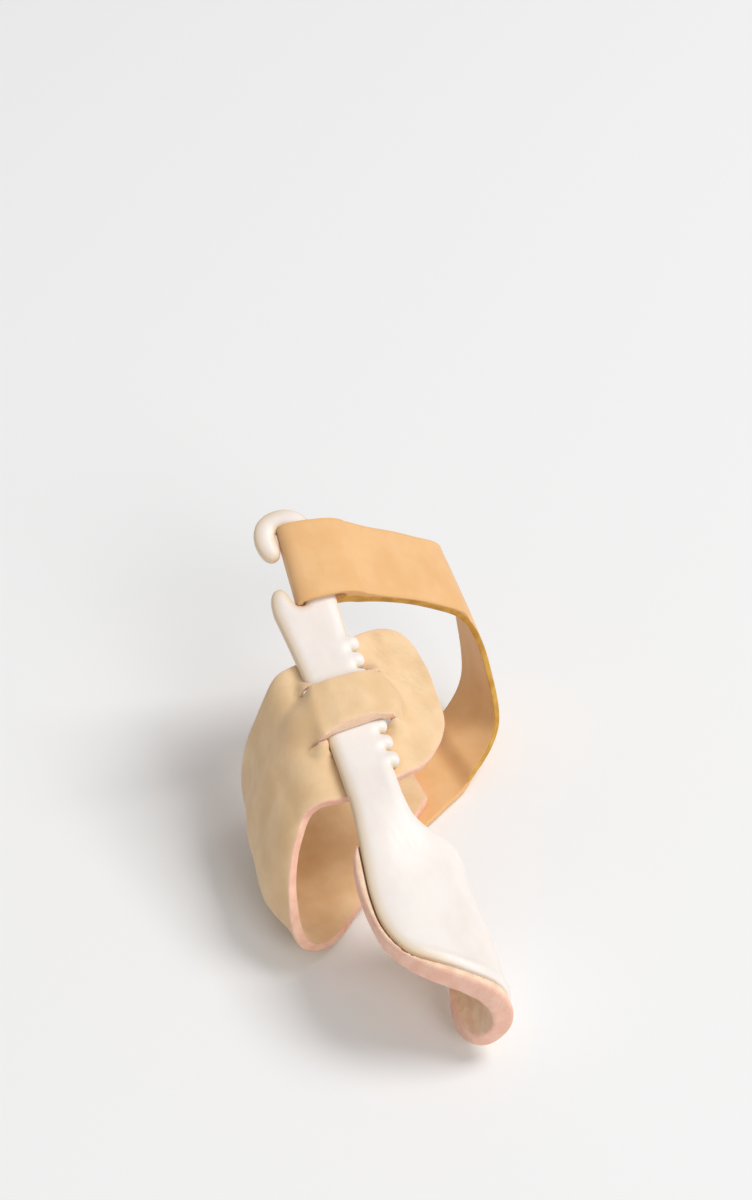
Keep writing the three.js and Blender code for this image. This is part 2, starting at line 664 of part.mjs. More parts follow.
function instepStrap() {
  const { outline, hole } = strapSection();
  // The middle of the hook's mouth, seen from the skin straight below it.
  const mouth = profileAt(heelLength - armWidth - mouthLength / 2);
  const middle = mouth.y + skinDrop * Math.sin(mouth.slope);
  const rows = strapEdges.map(({ around, back, width }) => new THREE.Vector3(around * strapLength, back, width));
  const samples = new THREE.CatmullRomCurve3(rows).getPoints(120);
  const edgesAt = (across) => {
    const right = Math.max(1, samples.findIndex((sample) => sample.x >= across - 1e-9));
    const [a, b] = [samples[right - 1], samples[right]];
    return a.clone().lerp(b, (across - a.x) / (b.x - a.x));
  };
  const widthSteps = 4;
  const points = [];
  const faces = [];
  // One copy of the section for each step of the width, with the two ends capped.
  const section = [...outline, ...hole];
  for (let row = 0; row <= widthSteps; row++) {
    for (const { x, y: height } of section) {
      const { y: back, z: width } = edgesAt(x);
      const y = middle + (back + width * (row / widthSteps - 0.5)) * strapWidth;
      // The fold follows the web, which is wider at the prong.
      const slant = webFlare * (1 - row / widthSteps) * (1 - smoothstep(x, 0, hookWidth / 2));
      const { point, normal } = footSurface(strapTape(slant - x), y);
      points.push(point.addScaledVector(normal, height));
    }
  }
  const last = widthSteps * section.length;
  for (const corners of triangulate(section)) {
    const centre = corners.reduce((sum, k) => sum.add(section[k]), new THREE.Vector2()).divideScalar(3);
    const [a, b, c] = corners;
    if (isInside(centre, outline) && !isInside(centre, hole)) faces.push(a, b, c, last + a, last + c, last + b);
  }
  for (const [ring, start] of [[outline, 0], [hole, outline.length]]) {
    for (let row = 0; row < widthSteps; row++) {
      for (let i = 0; i < ring.length; i++) {
        const [a, b] = [row * section.length + start + i, row * section.length + start + ((i + 1) % ring.length)];
        const [c, d] = [a + section.length, b + section.length];
        faces.push(a, d, b, a, c, d);
      }
    }
  }
  const geometry = new THREE.BufferGeometry().setFromPoints(points);
  geometry.setIndex(faces);
  geometry.computeVertexNormals();
  return piece("instep_strap", geometry, 0xf0c08c, 0.8);
}

const corrector = new THREE.Group();
corrector.name = "bunion_corrector";
corrector.add(splint(), toePad(), ballSling(), instepStrap());


export default corrector;
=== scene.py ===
# %% [markdown]
# A bunion corrector is four flat blanks that become a worn form: a moulded splint, a foam pad glued into
# its scoop, a foam sling woven round the splint's bar, and an elastic strap looped into its hook. The
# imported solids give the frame. Each fine piece here is cut as the same flat blank with many more points,
# bent to the same form, and stands for its solid. The pieces are worked out in millimetres, and become
# metres in each mesh.

# %% Open the frame
import math

import bpy
import numpy as np
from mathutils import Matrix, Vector
from mathutils.geometry import delaunay_2d_cdt


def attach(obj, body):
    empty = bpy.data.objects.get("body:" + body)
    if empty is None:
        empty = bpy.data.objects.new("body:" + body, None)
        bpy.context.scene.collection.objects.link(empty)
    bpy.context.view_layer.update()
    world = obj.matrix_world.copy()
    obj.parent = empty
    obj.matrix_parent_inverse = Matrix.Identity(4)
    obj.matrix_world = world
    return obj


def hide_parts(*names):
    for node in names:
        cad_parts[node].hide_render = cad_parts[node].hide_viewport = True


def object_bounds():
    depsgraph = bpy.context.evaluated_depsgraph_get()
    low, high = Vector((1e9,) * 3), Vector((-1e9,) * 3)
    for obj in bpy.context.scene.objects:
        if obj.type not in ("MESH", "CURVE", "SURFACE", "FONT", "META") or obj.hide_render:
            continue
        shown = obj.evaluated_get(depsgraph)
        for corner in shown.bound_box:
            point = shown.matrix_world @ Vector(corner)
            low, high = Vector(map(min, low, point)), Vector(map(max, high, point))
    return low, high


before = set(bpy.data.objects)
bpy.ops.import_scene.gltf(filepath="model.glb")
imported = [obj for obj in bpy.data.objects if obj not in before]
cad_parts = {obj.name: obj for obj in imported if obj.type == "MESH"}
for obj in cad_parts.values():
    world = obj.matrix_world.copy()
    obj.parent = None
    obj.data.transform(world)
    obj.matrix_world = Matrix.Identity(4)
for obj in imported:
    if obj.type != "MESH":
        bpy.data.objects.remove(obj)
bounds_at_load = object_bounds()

print("solids:", sorted(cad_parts))
print("their box, in m:", [[round(v, 4) for v in corner] for corner in bounds_at_load])


# %% [markdown]
# The splint's side view is two arcs that meet at the ball line, so the place and slope at any distance
# along it come from a few angles. A curve object could carry this line too, but every piece asks for it
# thousands of times, and a short function on arrays answers at once.

# %% The side line of the splint
BALL_HEIGHT = 36.0
BALL_SLOPE = math.radians(17)
HOOK_SLOPE = math.radians(27)
TIP_SLOPE = math.radians(8)
REAR_LENGTH = 92.8
FRONT_LENGTH = 68.0


def lerp(first, second, share):
    return first + (second - first) * share


def smoothstep(value, low, high):
    share = np.clip((np.asarray(value, float) - low) / (high - low), 0, 1)
    return share * share * (3 - 2 * share)


def turn_towards(behind):
    """How fast the slope changes, in radians per mm, behind the ball line or in front of it."""
    rear = (HOOK_SLOPE - BALL_SLOPE) / REAR_LENGTH
    front = (TIP_SLOPE - BALL_SLOPE) / -FRONT_LENGTH
    return np.where(behind, rear, front)


def profile_at(along):
    turn = turn_towards(along > 0)
    slope = BALL_SLOPE + turn * along
    y = (np.sin(slope) - math.sin(BALL_SLOPE)) / turn
    z = BALL_HEIGHT + (math.cos(BALL_SLOPE) - np.cos(slope)) / turn
    return y, z, slope


def along_at(y):
    turn = turn_towards(y > 0)
    return (np.arcsin(np.clip(y * turn + math.sin(BALL_SLOPE), -1, 1)) - BALL_SLOPE) / turn


print("the hook's crown lies at", [round(float(v), 1) for v in profile_at(np.float64(REAR_LENGTH))[:2]])


# %% [markdown]
# The splint's blank is flat from side to side along the bar and curls inwards at the scoop. Its
# cross-section is three arcs: a gentle one towards the free side, a flatter one over the top, and a tight
# one down the side that holds. A Bend modifier could curl one part, but it can't fade in along the splint
# as this does.

# %% The face that the splint is bent to
SCOOP_REACH = 19.0
SCOOP_PINCH = 2.2
SCOOP_TOP_RADIUS = 40.0
SCOOP_TILT = math.radians(12)
SCOOP_BEND = math.radians(24)
SCOOP_TUCK = math.radians(130)
SCOOP_FLOOR = 2.0
SCOOP_WRAP = 38.0
CURL_START = 2.0
CURL_END = 28.0


def walk_arc(distance, curvature, heading):
    """An arc walked from its start: how far it has gone across and down, and its heading."""
    safe = np.where(np.abs(curvature) < 1e-6, 1e-6, curvature)
    ahead = heading + safe * distance
    return (np.sin(ahead) - np.sin(heading)) / safe, (np.cos(heading) - np.cos(ahead)) / safe, ahead


def splint_face(along, across):
    """Points on the splint's underside and the directions square to it."""
    y, z, slope = profile_at(along)
    curl = smoothstep(-along, CURL_START, CURL_END)
    tilt = SCOOP_TILT * curl
    bend = SCOOP_BEND * curl
    reach = SCOOP_REACH - SCOOP_PINCH * smoothstep(-along, FRONT_LENGTH * 0.6, FRONT_LENGTH)
    side_radius = (z - SCOOP_FLOOR - reach * 0.25) / (np.cos(bend) - math.cos(SCOOP_TUCK))
    flat = np.maximum(4, (reach - side_radius * (1 - np.sin(bend))) / np.cos((tilt + bend) / 2))
    free = walk_arc(-across, curl / SCOOP_TOP_RADIUS, -tilt)
    over = walk_arc(np.minimum(across, flat), (bend - tilt) / flat, tilt)
    down = walk_arc(np.maximum(across - flat, 0), curl / side_radius, bend)
    on_free = across < 0
    past = across > flat
    x = np.where(on_free, -free[0], over[0] + np.where(past, down[0], 0))
    drop = np.where(on_free, free[1], over[1] + np.where(past, down[1], 0))
    heading = np.where(on_free, -free[2], np.where(past, down[2], over[2]))
    up = np.stack([np.zeros_like(slope), -np.sin(slope), np.cos(slope)], axis=-1)
    side = np.array([1.0, 0, 0])
    point = np.stack([x, y, z], axis=-1) - up * drop[..., None]
    normal = up * np.cos(heading)[..., None] + side * np.sin(heading)[..., None]
    return point, normal


scoop_side = splint_face(np.array([-50.0]), np.array([24.0]))[0][0, 0]
print("the scoop's side stands", round(float(scoop_side), 1), "mm out")


# %% [markdown]
# The sling and the strap are worn, so they need the form that fills them, though it is never made itself.
# One cross-section of sixteen places is scaled along its length and closed with a smooth spline. Where the
# splint lies, its top is level. A sculpted shape would do as well, but a table of shares can be read and
# changed.

# %% The form inside the straps
MEDIAL_REACH = 27.0
LATERAL_REACH = 57.0
INSTEP_REACH = 68.0
HOOK_WIDTH = 19.2
SLING_THICKNESS = 3.0
CLEARANCE = 0.35
FORM_DROP = SLING_THICKNESS + CLEARANCE

# Columns: reach on that side, height over the ball, height under the instep strap.
FORM_SECTION = [
    (0.04, 1, 1), (-0.4, 0.97, 0.97), (-0.7, 0.84, 0.84), (-0.92, 0.6, 0.6),
    (-1, 0.36, 0.36), (-0.93, 0.13, 0.1), (-0.7, 0.015, 0.01), (-0.2, 0, 0),
    (0.45, 0, 0), (0.8, 0.015, 0.01), (0.97, 0.13, 0.12), (0.99, 0.32, 0.46),
    (0.88, 0.54, 0.722), (0.66, 0.73, 0.86), (0.38, 0.9, 0.955), (0.16, 0.985, 1),
]
# Columns: place from the ball to the instep, reach on the inner side, reach on the outer side.
FORM_REACHES = np.array([
    (-0.5, 0.66, 1), (-0.22, 0.88, 1.06), (0, 1.02, 1.1), (0.22, 0.97, 1.08),
    (0.5, 0.85, 1.03), (0.75, 0.66, 1), (1, 0.62, 0.98), (1.4, 0.6, 0.97),
])


def spline(places, closed=False, per_span=96):
    """A smooth line through the places, with the same number of close points in each span."""
    places = np.asarray(places, float)
    if closed:
        before, start = np.roll(places, 1, 0), places
        end, after = np.roll(places, -1, 0), np.roll(places, -2, 0)
    else:
        longer = np.vstack([2 * places[0] - places[1], places, 2 * places[-1] - places[-2]])
        before, start, end, after = longer[:-3], longer[1:-2], longer[2:-1], longer[3:]
    spans = [(before, start), (start, end), (end, after)]
    gaps = [np.sqrt(np.linalg.norm(b - a, axis=1))[:, None] for a, b in spans]
    leave = (start - before) / gaps[0] - (end - before) / (gaps[0] + gaps[1]) + (end - start) / gaps[1]
    arrive = (end - start) / gaps[1] - (after - start) / (gaps[1] + gaps[2]) + (after - end) / gaps[2]
    leave, arrive = leave * gaps[1], arrive * gaps[1]
    t = (np.arange(per_span) / per_span)[:, None, None]
    line = start + leave * t + (3 * (end - start) - 2 * leave - arrive) * t**2
    line = line + (2 * (start - end) + leave + arrive) * t**3
    line = line.transpose(1, 0, 2).reshape(-1, places.shape[1])
    return np.vstack([line, places[0] if closed else places[-1]])


SECTION_LINE = spline(FORM_SECTION, closed=True, per_span=256)


def reaches_at(y):
    back = np.clip(y / INSTEP_REACH, FORM_REACHES[0, 0], FORM_REACHES[-1, 0])
    right = np.clip(np.searchsorted(FORM_REACHES[:, 0], back), 1, len(FORM_REACHES) - 1)
    low, high = FORM_REACHES[right - 1], FORM_REACHES[right]
    share = np.clip((back - low[..., 0]) / (high[..., 0] - low[..., 0]), 0, 1)
    share = share * share * (3 - 2 * share)
    medial = lerp(low[..., 1], high[..., 1], share) * MEDIAL_REACH
    return medial, lerp(low[..., 2], high[..., 2], share) * LATERAL_REACH


def form_point(turn, y):
    place = np.mod(turn, 1) * (len(SECTION_LINE) - 1)
    steps = np.arange(len(SECTION_LINE))
    reach, ball, instep = (np.interp(place, steps, SECTION_LINE[:, k]) for k in range(3))
    medial, lateral = reaches_at(y)
    _, z, slope = profile_at(along_at(y))
    top = z - FORM_DROP / np.cos(slope)
    x = reach * np.where(reach < 0, medial, lateral)
    height = lerp(ball, instep, smoothstep(y / INSTEP_REACH, 0.6, 1))
    level = lerp(1, height, smoothstep(np.abs(x), HOOK_WIDTH * 0.5, HOOK_WIDTH * 0.95))
    level = np.where(height > 0.5, level, height)
    return np.stack([x, y, level * top], axis=-1)


def form_face(turn, y):
    """Points on the form and the directions out of it."""
    along = form_point(turn, y + 1) - form_point(turn, y - 1)
    about = form_point(turn + 0.004, y) - form_point(turn - 0.004, y)
    normal = np.cross(along, about)
    return form_point(turn, y), normal / np.linalg.norm(normal, axis=-1, keepdims=True)


def tape_at(y):
    """Turns distances round the form, from over the splint's line and inwards, into turns of the section."""
    turns = np.linspace(-0.9, 1.5, 2305)
    line = form_point(turns, np.full_like(turns, y))
    lengths = np.concatenate([[0], np.cumsum(np.linalg.norm(np.diff(line, axis=0), axis=1))])
    crosses = (line[:-1, 0] > 0) & (line[1:, 0] <= 0)
    on_top = (line[1:, 2] > BALL_HEIGHT / 2) & (np.abs(turns[1:]) < 0.2)
    zero = lengths[1:][crosses & on_top][0]
    return lambda distance: np.interp(distance + zero, lengths, turns)


girth_line = form_point(np.linspace(0, 1, 400), np.zeros(400))
girth = np.linalg.norm(np.diff(girth_line, axis=0), axis=1).sum()
print("at the ball line the form measures", round(float(girth)), "mm round")


# %% [markdown]
# A die cuts each blank from sheet, so a blank is an outline with holes, kept as rings of points. A ring is
# cut into even steps and moved inwards for a rounded edge. Curve objects could be used, but plain rings can
# be measured against each other, which the finishes need later.

# %% Rings of points
def even_ring(ring, longest):
    """Cuts long edges of a ring into equal pieces."""
    after = np.roll(ring, -1, 0)
    pieces = np.maximum(1, np.ceil(np.linalg.norm(after - ring, axis=1) / longest)).astype(int)
    return np.vstack([a + (b - a) * (np.arange(n) / n)[:, None] for a, b, n in zip(ring, after, pieces)])


def inset_ring(ring, inset):
    """Moves a ring of points to its own left, so that every edge moves by the inset."""
    before = ring - np.roll(ring, 1, 0)
    after = np.roll(ring, -1, 0) - ring
    before = before / np.linalg.norm(before, axis=1, keepdims=True)
    after = after / np.linalg.norm(after, axis=1, keepdims=True)
    middle = before + after
    middle = middle / np.maximum(1e-9, np.linalg.norm(middle, axis=1, keepdims=True))
    reach = inset / np.maximum(0.6, (middle * after).sum(1))
    return ring + np.stack([-middle[:, 1], middle[:, 0]], axis=1) * reach[:, None]


def inside(points, ring):
    x, y = points[:, 0, None], points[:, 1, None]
    ax, ay = ring[:, 0], ring[:, 1]
    bx, by = np.roll(ax, -1), np.roll(ay, -1)
    span = np.where(by == ay, 1e-12, by - ay)
    hits = ((ay > y) != (by > y)) & (x < ax + (bx - ax) * (y - ay) / span)
    return hits.sum(axis=1) % 2 == 1


def distance_to(points, rings):
    """The distance of each point to the nearest edge of the rings."""
    best = np.full(len(points), 1e9)
    for ring in rings:
        start, step = ring, np.roll(ring, -1, 0) - ring
        for a, s in zip(start, step):
            share = np.clip(((points - a) @ s) / max(1e-12, s @ s), 0, 1)
            best = np.minimum(best, np.linalg.norm(points - a - share[:, None] * s, axis=1))
    return best


unit_square = np.array([(0.0, 0.0), (1.0, 0.0), (1.0, 1.0), (0.0, 1.0)])
smaller_square = inset_ring(unit_square, 0.1)
print("a square of 1 mm, moved in by 0.1 mm, is", round(float(np.ptp(smaller_square)), 3), "mm wide")


# %% [markdown]
# A blank's flat face is filled with triangles by Delaunay's rule, on an even grain of points, which bends
# far more smoothly than the long slivers that a plain fill gives. Only triangles whose middle lies in the
# outline and outside each hole are kept, so the slits stay open.

# %% Fill a blank
def fill_flat(rings, grain):
    """Points and triangles that fill the first ring and leave the others open."""
    low, high = rings[0].min(0), rings[0].max(0)
    rows = np.arange(low[1], high[1], grain * math.sqrt(0.75))
    columns = np.arange(low[0], high[0], grain)
    grid = np.array([(x + (k % 2) * grain / 2, y) for k, y in enumerate(rows) for x in columns])
    keep = inside(grid, rings[0])
    for ring in rings[1:]:
        keep &= ~inside(grid, ring)
    grid = grid[keep]
    grid = grid[distance_to(grid, rings) > grain * 0.6]
    sites = np.vstack([*rings, grid])
    edges = []
    start = 0
    for ring in rings:
        edges += [(start + i, start + (i + 1) % len(ring)) for i in range(len(ring))]
        start += len(ring)
    made = delaunay_2d_cdt([Vector(p) for p in sites], edges, [], 0, 1e-5)
    home = [origins[0] if origins else -1 for origins in made[3]]
    triangles = np.array([[home[k] for k in face] for face in made[2]])
    triangles = triangles[(triangles >= 0).all(axis=1)]
    a, b, c = (sites[triangles[:, k]] for k in range(3))
    area = (b[:, 0] - a[:, 0]) * (c[:, 1] - a[:, 1]) - (b[:, 1] - a[:, 1]) * (c[:, 0] - a[:, 0])
    triangles[area < 0] = triangles[area < 0][:, ::-1]
    centre = (a + b + c) / 3
    keep = inside(centre, rings[0]) & (np.abs(area) > 1e-9)
    for ring in rings[1:]:
        keep &= ~inside(centre, ring)
    return sites, triangles[keep]


print("a square of 1 mm is filled with", len(fill_flat([unit_square], 0.25)[1]), "triangles")


# %% [markdown]
# Two filled faces, one above the other, are joined by rings of points that make the rounded edge. Every
# point remembers its place on the flat blank and its distance from the rim, so that finishes follow the cut
# and not the room. A Solidify modifier could thicken a sheet, but it would keep neither of the two.

# %% Bend a blank
def build_mesh(name, points, faces, rim_faces, cut, margin):
    """A smooth mesh in metres. cut and margin are kept on its points for the finishes."""
    mesh = bpy.data.meshes.new(name)
    mesh.from_pydata((points / 1000).tolist(), [], [list(map(int, face)) for face in faces])
    mesh.polygons.foreach_set("material_index", np.asarray(rim_faces, np.int32))
    mesh.shade_smooth()
    cut_layer = mesh.attributes.new("cut", "FLOAT_VECTOR", "POINT")
    cut_layer.data.foreach_set("vector", cut.astype(np.float32).ravel())
    margin_layer = mesh.attributes.new("margin", "FLOAT", "POINT")
    margin_layer.data.foreach_set("value", margin.astype(np.float32))
    mesh.validate()
    made = bpy.data.objects.new(name, mesh)
    bpy.context.collection.objects.link(made)
    print(name, "has", len(mesh.vertices), "points and", len(mesh.polygons), "faces")
    return made


def rounded_edge(rounding, degrees):
    """Insets and depths round a quarter of a rounded edge."""
    return [(rounding * (1 - math.sin(a)), rounding * (1 - math.cos(a))) for a in np.radians(degrees)]


def drape(name, outline, holes, thickness, rounding, grain, place):
    """Cuts a blank and bends it. place(x, y, height, margin) gives its points in mm."""
    rings = [even_ring(np.asarray(ring, float), grain * 0.8) for ring in [outline, *holes]]
    flat, triangles = fill_flat([inset_ring(ring, rounding) for ring in rings], grain)
    quarter = rounded_edge(rounding, [0, 30, 60, 90])
    levels = quarter + [(inset, thickness - height) for inset, height in reversed(quarter)]
    cut = [np.column_stack([flat, np.full(len(flat), height)]) for height in (0.0, thickness)]
    faces = [triangles[:, ::-1], triangles + len(flat)]
    rim = [0] * (2 * len(triangles))
    start, total = 0, 2 * len(flat)
    for ring in rings:
        count = len(ring)
        order = np.arange(count)
        loops = [start + order]
        for inset, height in levels[1:-1]:
            cut.append(np.column_stack([inset_ring(ring, inset), np.full(count, height)]))
            loops.append(total + order)
            total += count
        loops.append(start + order + len(flat))
        for low, high in zip(loops, loops[1:]):
            faces.append(np.column_stack([low, np.roll(low, -1), np.roll(high, -1), high]))
            rim += [1] * count
        start += count
    cut = np.vstack(cut)
    margin = distance_to(cut[:, :2], rings)
    points = place(cut[:, 0], cut[:, 1], cut[:, 2], margin)
    return build_mesh(name, points, [face for block in faces for face in block], rim, cut, margin)


print("an edge rounded by 1 mm goes through", np.round(rounded_edge(1.0, [0, 45, 90]), 2).tolist())


# %% [markdown]
# Outlines are drawn with a pen, in straight and curved strokes, or as one smooth line through a table of
# places that is then cut into even steps. Either way the numbers stay here to be read, which a drawn curve
# object would hide.

# %% A pen for outlines
class Pen:
    """Draws an outline from straight and curved strokes."""

    def __init__(self, points):
        self.points = [tuple(point) for point in points]

    def line(self, x, y):
        self.points.append((x, y))

    def curve(self, *controls, steps=9):
        """One curved stroke to the last of its controls: two controls bend it once, three bend it twice."""
        places = [np.array(self.points[-1])] + [np.array(control) for control in controls]
        for t in np.arange(1, steps + 1) / steps:
            row = places
            while len(row) > 1:
                row = [lerp(a, b, t) for a, b in zip(row, row[1:])]
            self.points.append(tuple(row[0]))

    def ring(self):
        ring = np.array(self.points)
        return ring[np.linalg.norm(ring - np.roll(ring, 1, 0), axis=1) > 0.05]


def spaced(places, step, closed):
    """A smooth line through the places with its points one step apart."""
    line = spline(places, closed)
    lengths = np.concatenate([[0], np.cumsum(np.linalg.norm(np.diff(line, axis=0), axis=1))])
    count = max(2, round(lengths[-1] / step))
    marks = np.linspace(0, lengths[-1], count + 1)
    points = np.column_stack([np.interp(marks, lengths, line[:, k]) for k in range(2)])
    return points[:-1] if closed else points


corner = Pen([(0, 0)])
corner.curve((1, 0), (1, 1))
print("one curved stroke adds", len(corner.points) - 1, "points")


# %% [markdown]
# The splint is injection moulded in one piece: scoop, bar with rounded teeth, and a hook whose arm is as
# round as a bean. Its outline is drawn flat with the pen. It could be modelled straight in the round, but a
# flat outline keeps the widths true, and all the teeth come from one loop.

# %% The splint's outline
SPLINT_THICKNESS = 3.2
SCOOP_THICKNESS = 2.4
WAIST_WIDTH = 14.4
WAIST_SHIFT = 1.6
TOOTH_PITCH = 5.46
TOOTH_DEPTH = 2.6
TOOTH_COUNT = 8
TOOTH_START = 6.0
ARM_WIDTH = 6.6
WEB_WIDTH = 8.5
WEB_FLARE = 0.7
PRONG_REACH = 6.6
STRAP_WIDTH = 24.0
MOUTH_LENGTH = STRAP_WIDTH + 4 * CLEARANCE
OUTLINE_STEP = 1.2

# Columns: place along the splint's front part, place across the wrap, from the bar's left side round the tip.
SCOOP_OUTLINE = [
    (-0.03, -0.147), (-0.09, -0.155), (-0.17, -0.174), (-0.33, -0.216), (-0.47, -0.245), (-0.6, -0.24),
    (-0.7, -0.184), (-0.757, -0.108), (-0.828, 0.126), (-0.887, 0.347), (-0.925, 0.56), (-0.94, 0.69),
    (-0.925, 0.8), (-0.86, 0.88), (-0.72, 0.91), (-0.56, 0.88), (-0.45, 0.81), (-0.37, 0.72), (-0.31, 0.62),
    (-0.272, 0.518), (-0.24, 0.408), (-0.2, 0.31), (-0.144, 0.25), (-0.05, 0.23),
]


def bar_edges(along):
    """The bar's left and right edge. It widens from the waist to the hook."""
    share = np.clip((along / REAR_LENGTH - 0.11) / 0.56, 0, 1) ** 2
    half = lerp(WAIST_WIDTH, HOOK_WIDTH, share) / 2
    shift = WAIST_SHIFT * (1 - share)
    return shift - half, shift + half


def splint_outline():
    scoop = [(across * SCOOP_WRAP, along * FRONT_LENGTH) for along, across in SCOOP_OUTLINE]
    pen = Pen(spaced(scoop, OUTLINE_STEP, closed=False))
    for i in range(TOOTH_COUNT):
        notch = TOOTH_START + (i - 0.1) * TOOTH_PITCH
        edge = bar_edges(notch)[1]
        tip = edge + TOOTH_DEPTH
        at = [notch + TOOTH_PITCH * share for share in (0, 0.12, 0.42, 0.68, 0.8, 0.92)]
        pen.line(edge, notch)
        pen.curve((lerp(edge, tip, 0.7), at[0]), (tip, at[1]), (tip, at[2]), steps=6)
        pen.curve((tip, at[3]), (lerp(edge, tip, 0.75), at[4]), (edge, at[5]), steps=6)
    top = REAR_LENGTH
    right = HOOK_WIDTH / 2
    left = -right
    mouth_top = top - ARM_WIDTH
    mouth_low = mouth_top - MOUTH_LENGTH
    web = right - WEB_WIDTH
    web_low = web - WEB_FLARE
    prong = mouth_low + PRONG_REACH
    pen.line(bar_edges(mouth_low - 8)[1], mouth_low - 8)
    pen.line(right, mouth_low)
    pen.line(right, top - 8)
    pen.curve((right - 0.4, top - 2.5), (right - 4.6, top), (right - 8, top))
    pen.curve((left + 5.6, top), (left + 1.6, top - 3), (left + 1.4, top - 9))
    pen.curve((left + 1.4, top - 13), (left + 3, top - 16), (left + 5, top - 16))
    pen.curve((left + 7.4, top - 16), (left + 8.2, top - 13.5), (left + 7.8, top - 11))
    pen.curve((left + 7.6, top - 8.8), (web - 3.4, mouth_top), (web - 0.9, mouth_top))
    pen.curve((web, mouth_top), (web, mouth_top - 0.9), steps=4)
    pen.line(web_low, mouth_low + 0.9)
    pen.curve((web_low, mouth_low), (web_low - 0.9, mouth_low), steps=4)
    pen.curve((left + 5.8, mouth_low), (left + 6.8, prong), (left + 4, prong))
    pen.curve((left + 1, prong), (left + 0.4, mouth_low + 2.5), (left + 0.5, mouth_low - 1.5))
    for share in (0.9, 0.8, 0.7, 0.6, 0.5, 0.4, 0.2):
        pen.line(bar_edges(mouth_low * share)[0], mouth_low * share)
    return pen.ring()


splint_ring = splint_outline()
print("the splint's outline has", len(splint_ring), "points")


# %% [markdown]
# The blank is bent to the splint's face. The mould's soft form comes from a crown: the upper face drops
# away near the rim. A thin raised lip runs along the scoop's front edge. A Bevel modifier rounds an edge
# alone and can't do either.

# %% Bend the splint
BAR_CROWN = 0.75
SCOOP_CROWN = 0.25
CROWN_WIDTH = 3.4
LIP_HEIGHT = 0.45
LIP_INSET = 2.1
LIP_WIDTH = 0.6


def place_splint(x, y, height, margin):
    point, normal = splint_face(y, x)
    scoop = smoothstep(-y, 8, 30)
    level = height / SPLINT_THICKNESS
    thickness = lerp(SPLINT_THICKNESS, SCOOP_THICKNESS, scoop)
    crown = lerp(BAR_CROWN, SCOOP_CROWN, scoop) * np.clip(1 - margin / CROWN_WIDTH, 0, 1) ** 2
    front = smoothstep(-y, FRONT_LENGTH * 0.66, FRONT_LENGTH * 0.78)
    lip = LIP_HEIGHT * front * np.exp(-(((margin - LIP_INSET) / LIP_WIDTH) ** 2))
    return point + normal * (level * (thickness - crown + lip))[:, None]


splint = drape("moulded_splint", splint_ring, [], SPLINT_THICKNESS,
               rounding=0.8, grain=1.0, place=place_splint)


# %% [markdown]
# The pad is a soft foam sheet glued into the scoop. It is larger than the plastic and shows as a rim round
# its front, tip and lower edge. It is cut and bent in the same way, on the inside of the same face. Its
# free rim is left a little fuller than the glued part, as foam that nothing presses is. A cloth simulation
# could swell it, but the rim is narrow, and one smooth step swells it evenly.

# %% The toe pad
PAD_THICKNESS = 3.6
PAD_SEAT = 0.5
PAD_FLARE = 2.2
FLARE_REACH = 0.8
PAD_SWELL = 0.1
# The columns are those of the scoop's table.
PAD_OUTLINE = [
    (-0.2, 0.04), (-0.195, -0.1), (-0.24, -0.225), (-0.32, -0.279), (-0.44, -0.305), (-0.578, -0.295),
    (-0.68, -0.255), (-0.765, -0.16), (-0.83, -0.026), (-0.885, 0.15), (-0.945, 0.36), (-0.985, 0.56),
    (-1, 0.74), (-0.985, 0.92), (-0.9, 1.05), (-0.72, 1.1), (-0.54, 1.02), (-0.38, 0.76), (-0.31, 0.5),
    (-0.25, 0.24),
]


def place_pad(x, y, height, margin):
    point, normal = splint_face(y, x)
    level = height / PAD_THICKNESS
    # Beyond the plastic nothing presses the foam, and it swells until it is nearly flush.
    places = np.column_stack([x, y])
    beyond = np.where(inside(places, splint_ring), 0, distance_to(places, [splint_ring]))
    flare = PAD_FLARE * smoothstep(beyond, 0.0, FLARE_REACH)
    swell = PAD_SWELL * np.sin(x * 0.9 + 1.2) * np.sin(y * 0.7)
    offset = (level - 1) * PAD_THICKNESS - PAD_SEAT + flare * level + swell * (1 - level)
    return point + normal * offset[:, None]


pad_places = [(across * SCOOP_WRAP, along * FRONT_LENGTH) for along, across in PAD_OUTLINE]
pad_ring = spaced(pad_places, OUTLINE_STEP, closed=True)
pad = drape("foam_toe_pad", pad_ring, [], PAD_THICKNESS, rounding=0.7, grain=0.45, place=place_pad)


# %% [markdown]
# The sling is one strip of skinned foam with two slits. Its edges are two smooth lines through a table of
# shares, because the strip narrows and leans where it goes round the side. It could be drawn with the pen,
# but a table shows its width at each place.

# %% The sling's blank
SLING_WIDTH = 46.0
SLING_LENGTH = 105.0
TAB_REACH = 33.0
SLING_STEP = 1.4
# Each slit: how far it lies from the ball line, on the splint's centre line, and its lean.
SLITS = [(18.3, math.tan(math.radians(7))), (34.0, math.tan(math.radians(3)))]
SLIT_GAP = 0.8
RAMP = 1.9
BAR_MIDDLE = (WAIST_SHIFT + TOOTH_DEPTH) / 2 + 0.6
BAR_HALF = (WAIST_WIDTH + TOOTH_DEPTH) / 2 + 0.6

# Columns: place round the sling's length, front edge and rear edge as shares of its width.
SLING_EDGES = [
    (-0.3, 0.56, 1.04), (-0.27, 0.4, 1.11), (-0.2, 0.21, 1.12), (-0.1, 0.09, 1.03), (0.05, 0.03, 0.95),
    (0.13, 0.03, 0.91), (0.18, -0.04, 0.86), (0.24, -0.13, 0.85), (0.31, -0.22, 0.85), (0.38, -0.31, 0.82),
    (0.46, -0.38, 0.77), (0.56, -0.34, 0.78), (0.7, -0.08, 0.86), (0.85, 0.32, 0.99), (1, 0.66, 1.2),
]


